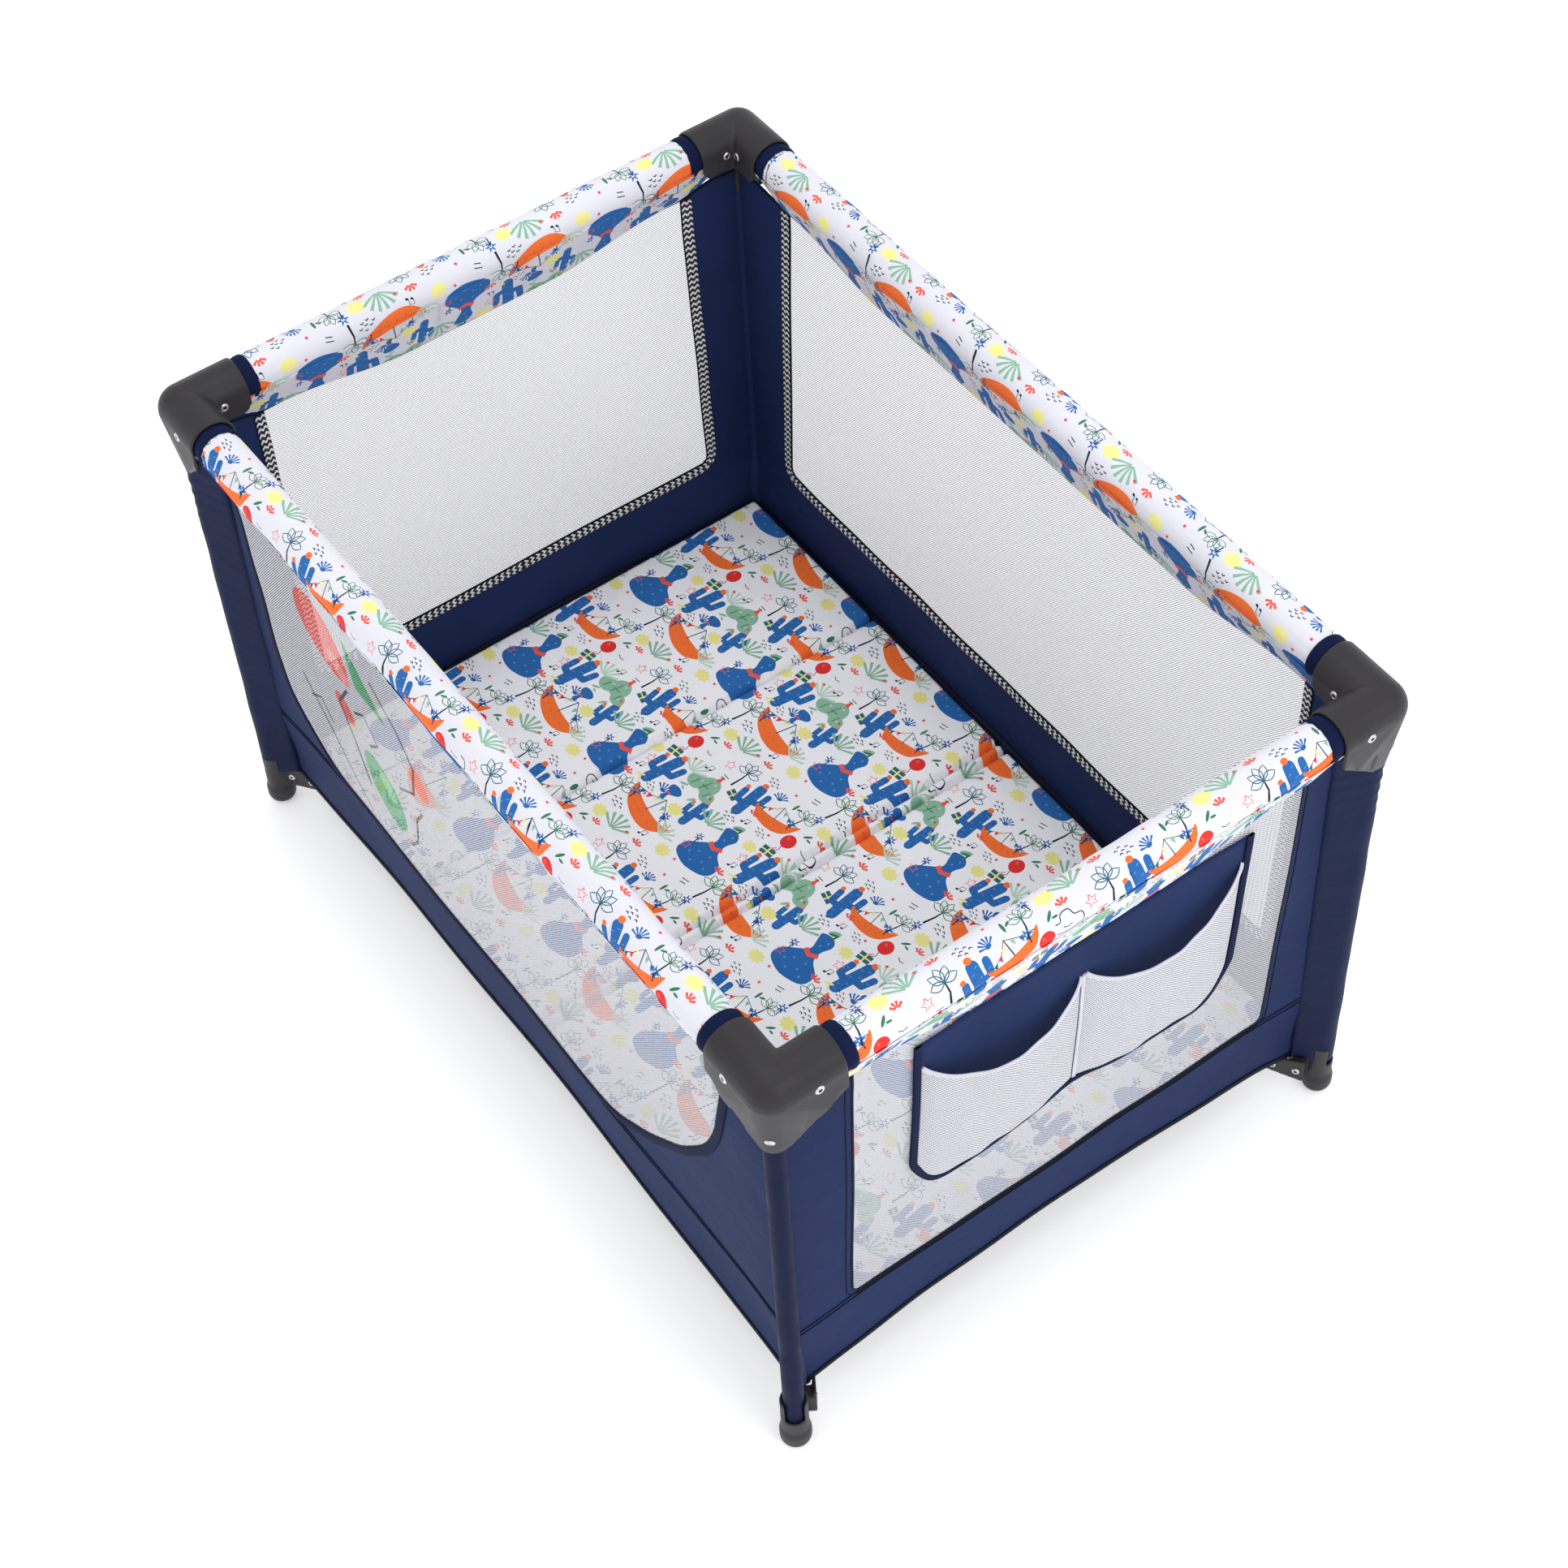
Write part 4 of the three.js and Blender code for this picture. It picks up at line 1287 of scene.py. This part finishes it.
def mattress_piping(name, path, body):
    points = [(x, y, MATTRESS_TOP - 0.0016) for x, y in path]
    frames = frames_along([Vector(p) for p in spaced(points, 0.012)], Vector((0, 0, 1)))
    attached(sweep(name, frames, round_section(0.0022, 8), black_piping), body, "printed_fabric")


def mattress():
    mattress_panel("mattress_middle", -CREASE, CREASE, "mattress_band", 1, (0.006, 0.006))
    for sign, word in ((-1, "left"), (1, "right")):
        inner = sorted([sign * CREASE, sign * PANEL_SPLIT])
        outer = sorted([sign * PANEL_SPLIT, sign * MATTRESS_X])
        mattress_panel("mattress_pad_inner_" + word, *inner, "mattress_inner_" + word, 2 + sign, (FOLD, FOLD))
        mattress_panel("mattress_pad_outer_" + word, *outer, "mattress_outer_" + word, 6 + sign,
                       (FOLD, RIM) if sign > 0 else (RIM, FOLD))
        near, far = sign * (PANEL_SPLIT - 0.001), sign * (PANEL_SPLIT + 0.001)
        for y, end in ((-MATTRESS_Y, "front"), (MATTRESS_Y, "rear")):
            mattress_piping(f"mattress_piping_inner_{word}_{end}", [(sign * CREASE, y), (near, y)],
                            "mattress_inner_" + word)
        mattress_piping(f"mattress_piping_outer_{word}",
                        rounded(rectangle(far, sign * MATTRESS_X, MATTRESS_Y), 0.006), "mattress_outer_" + word)


# ---- corner caps ----
def swapped(points):
    return [(y, x, z) for x, y, z in points]


def both_ways(points):
    """The hulls of points beside +X and of the same points beside +Y."""
    return [hull(points), hull(swapped(points))]


def cap_master():
    """The moulded cap with the leg axis at the origin and its arms along +X and +Y."""
    arm = []
    for k in range(13):
        lean = math.pi * k / 12
        arm += ring(2, (0, 0, RAIL_Z + CAP_RADIUS * math.cos(lean)), CAP_RADIUS * max(math.sin(lean), 1e-4))
    arm += ring(0, (CAP_ARM - 0.002, 0, RAIL_Z), CAP_RADIUS) + ring(0, (CAP_ARM, 0, RAIL_Z), CAP_RADIUS - 0.001)
    half = CAP_RADIUS - 0.0004
    corners = [(CAP_ARM, RAIL_Z), (CAP_ARM, RAIL_Z - 0.014), (CAP_ARM - 0.024, RAIL_Z - 0.045)]
    skirt = ring(2, (0, 0, RAIL_Z - 0.004), half) + ring(2, (0, 0, CAP_BOTTOM), 0.017)
    skirt += [(x, y, z) for x, z in corners for y in (-half, half)]
    channel_ends = (0.019, CAP_ARM + 0.02)
    channel = []
    for x in channel_ends:
        channel += ring(0, (x, 0, RAIL_Z), CAP_BORE)
        channel += [(x, y, CAP_BOTTOM - 0.02) for y in (-CAP_BORE, CAP_BORE)]
    cheek = [(x, y, z) for x in channel_ends for y in (0.012, 0.09) for z in (0.56, 0.710)]
    socket = ring(2, (0, 0, CAP_BOTTOM - 0.02), LEG_SOCKET) + ring(2, (0, 0, 0.716), LEG_SOCKET)
    face = []
    for y, inset in ((-CAP_RADIUS + 0.0004, 0.0), (-CAP_RADIUS + 0.0036, 0.0032)):
        face += [(x, y, z) for x, z in ((0, RAIL_Z), (CAP_ARM, RAIL_Z), (CAP_ARM, RAIL_Z - 0.028))]
        face += [(x, -0.0165 + inset, CAP_BOTTOM) for x in (0, 0.011)]
    return fused("cap_master", both_ways(arm) + both_ways(skirt),
                 both_ways(channel) + both_ways(cheek) + [hull(socket)], both_ways(face), 0.0014, 6, charcoal)


def rivet(name, centre, direction, radius, body):
    """A tubular rivet head with a rolled lip, and a dark eye: painted shade in its shallow hollow, in place of
    a deep bore.
    """
    profile = [(0.0, 0.0003), (radius * 0.34, 0.0003), (radius * 0.42, 0.0012), (radius * 0.62, 0.0017),
               (radius * 0.85, 0.0012), (radius, 0.0002), (radius, -0.0014)]
    piece = lathe(name, profile, rivet_metal, 32)
    piece.data.materials.append(eye_painted_shade)
    # The eye's faces take the painted shade.
    for face in piece.data.polygons:
        if face.center.xy.length < radius * 0.38:
            face.material_index = 1
    turn = Vector((0, 0, 1)).rotation_difference(Vector(direction)).to_matrix().to_4x4()
    piece.data.transform(Matrix.Translation(centre) @ turn)
    attached(piece, body, "charcoal_plastic")


def caps():
    """The four corner caps, each with two rivets on each arm and one low on its corner."""
    master = cap_master()
    for corner, (flip_x, flip_y) in CORNERS.items():
        body = "leg_" + corner
        origin = Vector((flip_x * LEG_X, flip_y * LEG_Y, 0))
        piece = placed_copy(master, "cap_" + corner, -flip_x, -flip_y, origin)
        attached(piece, body, "charcoal_plastic", "corner_cap_" + corner)
        for word, run, out in (("long", (-flip_x, 0), (0, flip_y)), ("short", (0, -flip_y), (flip_x, 0))):
            for face, depth in ((1, "outer"), (-1, "inner")):
                x, y = (run[k] * RAIL_PIVOT + out[k] * face * CAP_CHEEK for k in (0, 1))
                rivet(f"cap_rivet_{word}_{depth}_{corner}", origin + Vector((x, y, RAIL_Z - 0.001)),
                      (out[0] * face, out[1] * face, 0), 0.0058, body)
        lean = Vector((flip_x, flip_y, -0.55)).normalized()
        spot = origin + Vector((flip_x * 0.0142, flip_y * 0.0142, 0.668))
        rivet(f"cap_rivet_low_{corner}", spot, lean, 0.0056, body)
    bpy.data.objects.remove(master)


# ---- feet ----
ARM_RUN = Vector((LEG_X - FOOT_PIVOT - LATCH_PIVOT, LEG_Y - FOOT_PIVOT - LATCH_PIVOT, 0)).normalized()
ARM_SIDE = Vector((-ARM_RUN.y, ARM_RUN.x, 0))


def foot_point(run, aside, z):
    """A point from the foot's arm pivot, along and beside the arm."""
    return tuple(Vector((FOOT_PIVOT, FOOT_PIVOT, z)) + ARM_RUN * run + ARM_SIDE * aside)


def foot_master():
    """The moulded foot with the leg axis at the origin and its arm bracket towards the hub."""
    bulb = []
    for radius, z in ((0.0125, 0.0), (0.0168, 0.0028), (0.0190, 0.009), (0.0190, 0.022), (0.0172, 0.030)):
        bulb += ring(2, (0, 0, z), radius)
    neck = ring(2, (0, 0, 0.026), 0.0165) + ring(2, (0, 0, 0.062), 0.0165)
    collar = ring(2, (0, 0, 0.030), 0.0160) + ring(2, (0, 0, 0.090), 0.0165)
    added = [hull(bulb), hull(neck), hull(collar)]
    for flip in (-1, 1):
        cheek = []
        for aside in (0.0104, 0.0148):
            for k in range(13):
                turn = -math.pi / 2 + math.pi * k / 12
                cheek.append(foot_point(0.014 * math.cos(turn), flip * aside, ARM_Z + 0.014 * math.sin(turn)))
            cheek += [foot_point(-0.038, flip * aside, 0.030), foot_point(-0.038, flip * aside, 0.070)]
        added.append(hull(cheek))
    bridge = [foot_point(run, aside, z) for run in (-0.040, -0.023) for aside in (-0.0148, 0.0148)
              for z in (0.031, 0.065)]
    added.append(hull(bridge))
    socket = ring(2, (0, 0, 0.040), LEG_SOCKET) + ring(2, (0, 0, 0.11), LEG_SOCKET)
    axis_run = Vector((-FOOT_PIVOT, -FOOT_PIVOT, 0)).dot(ARM_RUN)
    axis_aside = Vector((-FOOT_PIVOT, -FOOT_PIVOT, 0)).dot(ARM_SIDE)
    opening = [foot_point(axis_run + run, axis_aside + aside, z) for run in (-0.03, -0.002)
               for aside in (-0.0112, 0.0112) for z in (0.056, 0.12)]
    return fused("foot_master", added, [hull(socket), hull(opening)], [], 0.0011, 4, foot_plastic)


def feet():
    """The four feet, each with two rivets through its bracket, seen from both sides."""
    master = foot_master()
    for corner, (flip_x, flip_y) in CORNERS.items():
        origin = Vector((flip_x * LEG_X, flip_y * LEG_Y, 0))
        flip = Matrix.Diagonal((-flip_x, -flip_y, 1))
        piece = placed_copy(master, "foot_" + corner, -flip_x, -flip_y, origin)
        attached(piece, "leg_" + corner, "charcoal_plastic", "foot_bracket_" + corner)
        for k, run in enumerate((0.0, -0.030)):
            for aside, word in ((1, "a"), (-1, "b")):
                spot = origin + flip @ Vector(foot_point(run, aside * 0.0146, ARM_Z))
                rivet(f"foot_rivet_{k}{word}_{corner}", spot, flip @ (ARM_SIDE * aside), 0.0052,
                      "leg_" + corner)
    bpy.data.objects.remove(master)


# ---- organizer on the right side ----
def organizer_foot(y):
    """Height of the organizer's lower edge: rounded corners, and lifted at the divider."""
    y = np.abs(y)
    lift = 0.022 * np.exp(-((y / 0.05) ** 2))
    corner = 0.060 * (1 - np.sqrt(np.clip(1 - smoothstep(ORG_HALF - 0.055, ORG_HALF, y) ** 2, 0, 1)))
    return 0.350 + lift + corner


def organizer_back(y, z):
    """Outward place of the organizer's back cloth, from the leg plane."""
    return 0.0035 - WALL_INSET * wall_fall(z) + 0.001 * ripple(y, z, 0.13, 4)


def pocket_bulge(y, z, low, high):
    """How far a pocket's net stands off the back."""
    across = np.clip((y - low) / (high - low), 0, 1)
    up = np.clip((z - organizer_foot(y)) / 0.22, 0, 1)
    belly = np.sin(math.pi * across) ** 0.65
    slack = 0.0018 * ripple(y, z, 0.06, 2) * belly
    return 0.0012 + 0.0225 * belly * np.sqrt(np.clip(up * 1.6, 0, 1)) + slack


def pocket_top(y, low, high):
    """Height of a pocket's mouth, which dips between its two held ends."""
    across = np.clip((y - low) / (high - low), 0, 1)
    ends = (POCKET_OUTER, POCKET_INNER) if abs(low) > abs(high) else (POCKET_INNER, POCKET_OUTER)
    level = ends[0] + (ends[1] - ends[0]) * across
    return level - 0.048 * np.sin(math.pi * across) ** 0.8


def org_attached(piece, slot):
    """Rides on the right latch, on a mesh of its own."""
    attached(piece, "latch_right", slot)
    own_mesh(piece)
    return piece


def org_strip(name, path, out_at, section, material, slot):
    """A strip along (y, z) points of the organizer, out_at them."""
    points = [Vector((LEG_X + float(out_at(y, z)), y, z)) for y, z in path]
    return org_attached(sweep(name, frames_along(points, Vector((1, 0, 0))), section, material), slot)


def org_sheet(name, outline, step, out_at, material):
    flat, faces, _ = cut_cloth(outline, [], (step, step))
    flat, faces = compact(flat, faces)
    y, z = flat[:, 0], flat[:, 1]
    return make(name, on_side("right", y, out_at(y, z), z), faces, [material], flat=flat)


def line_of(height, low, high, count):
    """Points (y, z) at a height that depends on y."""
    return [(float(y), float(height(y))) for y in np.linspace(low, high, count)]


def pocket(word, low, high):
    """One netting pocket with its elastic mouth."""
    def stand(y, z):
        return organizer_back(y, z) + pocket_bulge(y, z, low, high)

    mouth = line_of(lambda y: pocket_top(y, low, high), low, high, 36)
    floor_line = line_of(lambda y: organizer_foot(y) + 0.006, low, high, 36)
    net = org_sheet("organizer_net_" + word, mouth + floor_line[::-1], 0.008, stand, pocket_net)
    org_attached(net, "mesh_fabric")
    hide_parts("organizer_pocket_" + word)
    elastic = org_strip("organizer_mouth_" + word, spaced(mouth, 0.006), stand,
                        flat_section(0.0030, 0.0010), white_elastic, "mesh_fabric")
    declare(net)


def organizer():
    """The organizer: its back cloth with a bound edge, two pockets and the divider between them."""
    def proud(lift):
        return lambda y, z: organizer_back(y, z) + lift

    lower = line_of(organizer_foot, -ORG_HALF, ORG_HALF, 60)
    ends = (-ORG_HALF, ORG_TOP), (ORG_HALF, ORG_TOP)
    back = org_sheet("organizer_cloth", [*ends, *lower[::-1]], 0.011, organizer_back, navy_cloth)
    org_attached(solid(back, ORG_CLOTH), "navy_fabric")
    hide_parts("organizer_back")
    rim_path = spaced([ends[0], *lower, ends[1]], 0.008)
    rim = org_strip("organizer_binding", rim_path, proud(0.0012), flat_section(0.0048, 0.0019),
                    navy_binding, "navy_fabric")
    rim_edge = org_strip("organizer_edge", rim_path, proud(0.0016), round_section(0.0016, 8),
                         black_piping, "navy_fabric")
    pocket("front", -POCKET_FAR, -POCKET_NEAR)
    pocket("rear", POCKET_NEAR, POCKET_FAR)
    declare(back)
    org_strip("organizer_divider", spaced([(0.0, 0.378), (0.0, 0.584)], 0.01), proud(0.0022),
              flat_section(0.0026, 0.0009), white_elastic, "mesh_fabric")


# ---- latch housings and the hub's strap ----
def latch_master():
    """The latch housing with the rail along X, its corners rounded to lie inside the cover."""
    section_radius, half_width, half_height = 0.0248, 0.0205, 0.024
    points = []
    for k in range(25):
        lean = math.pi * k / 24
        x, height = math.cos(lean) * half_height, math.sin(lean) * half_height
        place = x + math.copysign(LATCH_PIVOT, x)
        for turn in circle(48):
            y = max(-half_width, min(half_width, section_radius * math.cos(turn)))
            z = max(-height, min(height, section_radius * math.sin(turn)))
            points.append((place, y, RAIL_Z + z))
    body = joined("latch_master", [hull(points)])
    slots = [hull([(x, y, z) for x in sorted([end * 0.019, end * 0.090]) for y in (-0.0118, 0.0118)
                   for z in (RAIL_Z - 0.0155, RAIL_Z + 0.060)]) for end in (-1, 1)]
    slots.append(hull(ring(2, (0, 0, RAIL_Z - 0.060), 0.0092) + ring(2, (0, 0, RAIL_Z + 0.008), 0.0092)))
    for slot in slots:
        cut_away(body, joined("latch_slot", [slot]))
    body.data.materials.clear()
    body.data.materials.append(charcoal)
    return body


def latches():
    master = latch_master()
    for side, data in SIDES.items():
        piece = linked("latch_housing_" + side, master.data.copy())
        turn = Matrix.Identity(4) if data["kind"] == "long" else Matrix.Rotation(math.pi / 2, 4, "Z")
        piece.data.transform(Matrix.Translation(Vector(on_side(side, 0.0, 0.0, 0.0))) @ turn)
        attached(piece, "latch_" + side, "charcoal_plastic", "latch_" + side)
    bpy.data.objects.remove(master)


def hub_strap():
    """A low loop of webbing over the hub, to lift it by."""
    frames = []
    for k in range(25):
        t = k / 24
        point = Vector((-0.028 + 0.056 * t, 0, 0.0692 + 0.0105 * math.sin(math.pi * t) ** 0.7))
        frames.append((point, Vector((0, 1, 0)), Vector((0, 0, 1))))
    strap = sweep("hub_strap", frames, flat_section(0.0088, 0.0009), navy_binding)
    attached(strap, "hub", "navy_fabric", "hub_handle")


# ---- materials of the CAD pieces that stay ----
CAD_LOOKS = {"leg": navy_paint, "long_rail": steel, "short_rail": steel, "floor_arm": arm_steel,
             "hub": charcoal, "hub_foot": foot_plastic, "latch": charcoal, "latch_button": charcoal}


def cad_looks():
    for name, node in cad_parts.items():
        stem = name
        for ending in list(CORNERS) + list(SIDES):
            stem = stem.removesuffix("_" + ending)
        if stem in CAD_LOOKS and not node.hide_render:
            for slot in node.material_slots:
                slot.material = CAD_LOOKS[stem]


# ---- floor, light and camera ----
def studio():
    """A pale floor, a white sky and two soft lamps (name, place, size, power in watts)."""
    s = Shader("studio_floor")
    tone = s.mix(s.noise(s.place(), 1.5), rgb(250, 250, 251), rgb(253, 253, 254))
    lit = s.node("Emission", {"Color": tone, "Strength": 0.30})
    paint = s.surface(Base_Color=tone, Roughness=0.9)
    material = s.done(s.node("AddShader", {0: paint.outputs[0], 1: lit.outputs[0]}))
    points = [(x, y, -0.0006) for x, y in rectangle(-FLOOR_HALF, FLOOR_HALF, FLOOR_HALF)]
    make("studio_floor", points, [(0, 1, 2, 3)], [material])
    world = bpy.data.worlds.new("studio")
    bpy.context.scene.world = world
    world.use_nodes = True
    sky = world.node_tree.nodes["Background"]
    sky.inputs["Color"].default_value = (1.0, 1.0, 1.0, 1.0)
    sky.inputs["Strength"].default_value = 1.0
    for name, spot, size, power in (("key", (3.4, 0.6, 3.0), 2.6, 34), ("top", (0, 0, 4.2), 3.0, 28)):
        lamp = bpy.data.lights.new(name, "AREA")
        lamp.shape, lamp.size, lamp.energy = "SQUARE", size, power
        obj = linked(name, lamp)
        obj.location = spot
        obj.rotation_euler = (Vector((0, 0, 0.35)) - Vector(spot)).to_track_quat("-Z", "Y").to_euler()
    bpy.context.scene.view_settings.view_transform = "Standard"


def camera():
    """The photograph's view: a long lens from above the front right corner, slightly rolled."""
    lens = bpy.data.cameras.new("camera")
    lens.lens, lens.sensor_width = 72.43, 36.0
    lens.shift_x, lens.shift_y = -0.0078, -0.0530
    lens.clip_start, lens.clip_end = 0.1, 60.0
    azimuth, elevation, roll = (math.radians(v) for v in (56.427, 50.359, -3.070))
    back = Vector((math.sin(azimuth) * math.cos(elevation), -math.cos(azimuth) * math.cos(elevation),
                   math.sin(elevation)))
    right = Vector((0, 0, 1)).cross(back).normalized()
    up = back.cross(right)
    x_axis = right * math.cos(roll) + up * math.sin(roll)
    y_axis = up * math.cos(roll) - right * math.sin(roll)
    turn = Matrix((x_axis, y_axis, back)).transposed().to_4x4()
    obj = linked("camera", lens)
    obj.matrix_world = Matrix.Translation((2.0041, -1.2822, 3.3356)) @ turn
    bpy.context.scene.camera = obj


# ---- everything, in order ----
for side in SIDES:
    rail_covers(side)
for side, data in SIDES.items():
    for sign, corner in data["ends"].items():
        wall(side, sign, corner)
for corner in SLEEVED:
    sleeve(corner)
for corner in CORNERS:
    if corner not in SLEEVED:
        corner_welt(corner)
mattress()
caps()
feet()
organizer()
latches()
hub_strap()
cad_looks()
studio()
camera()
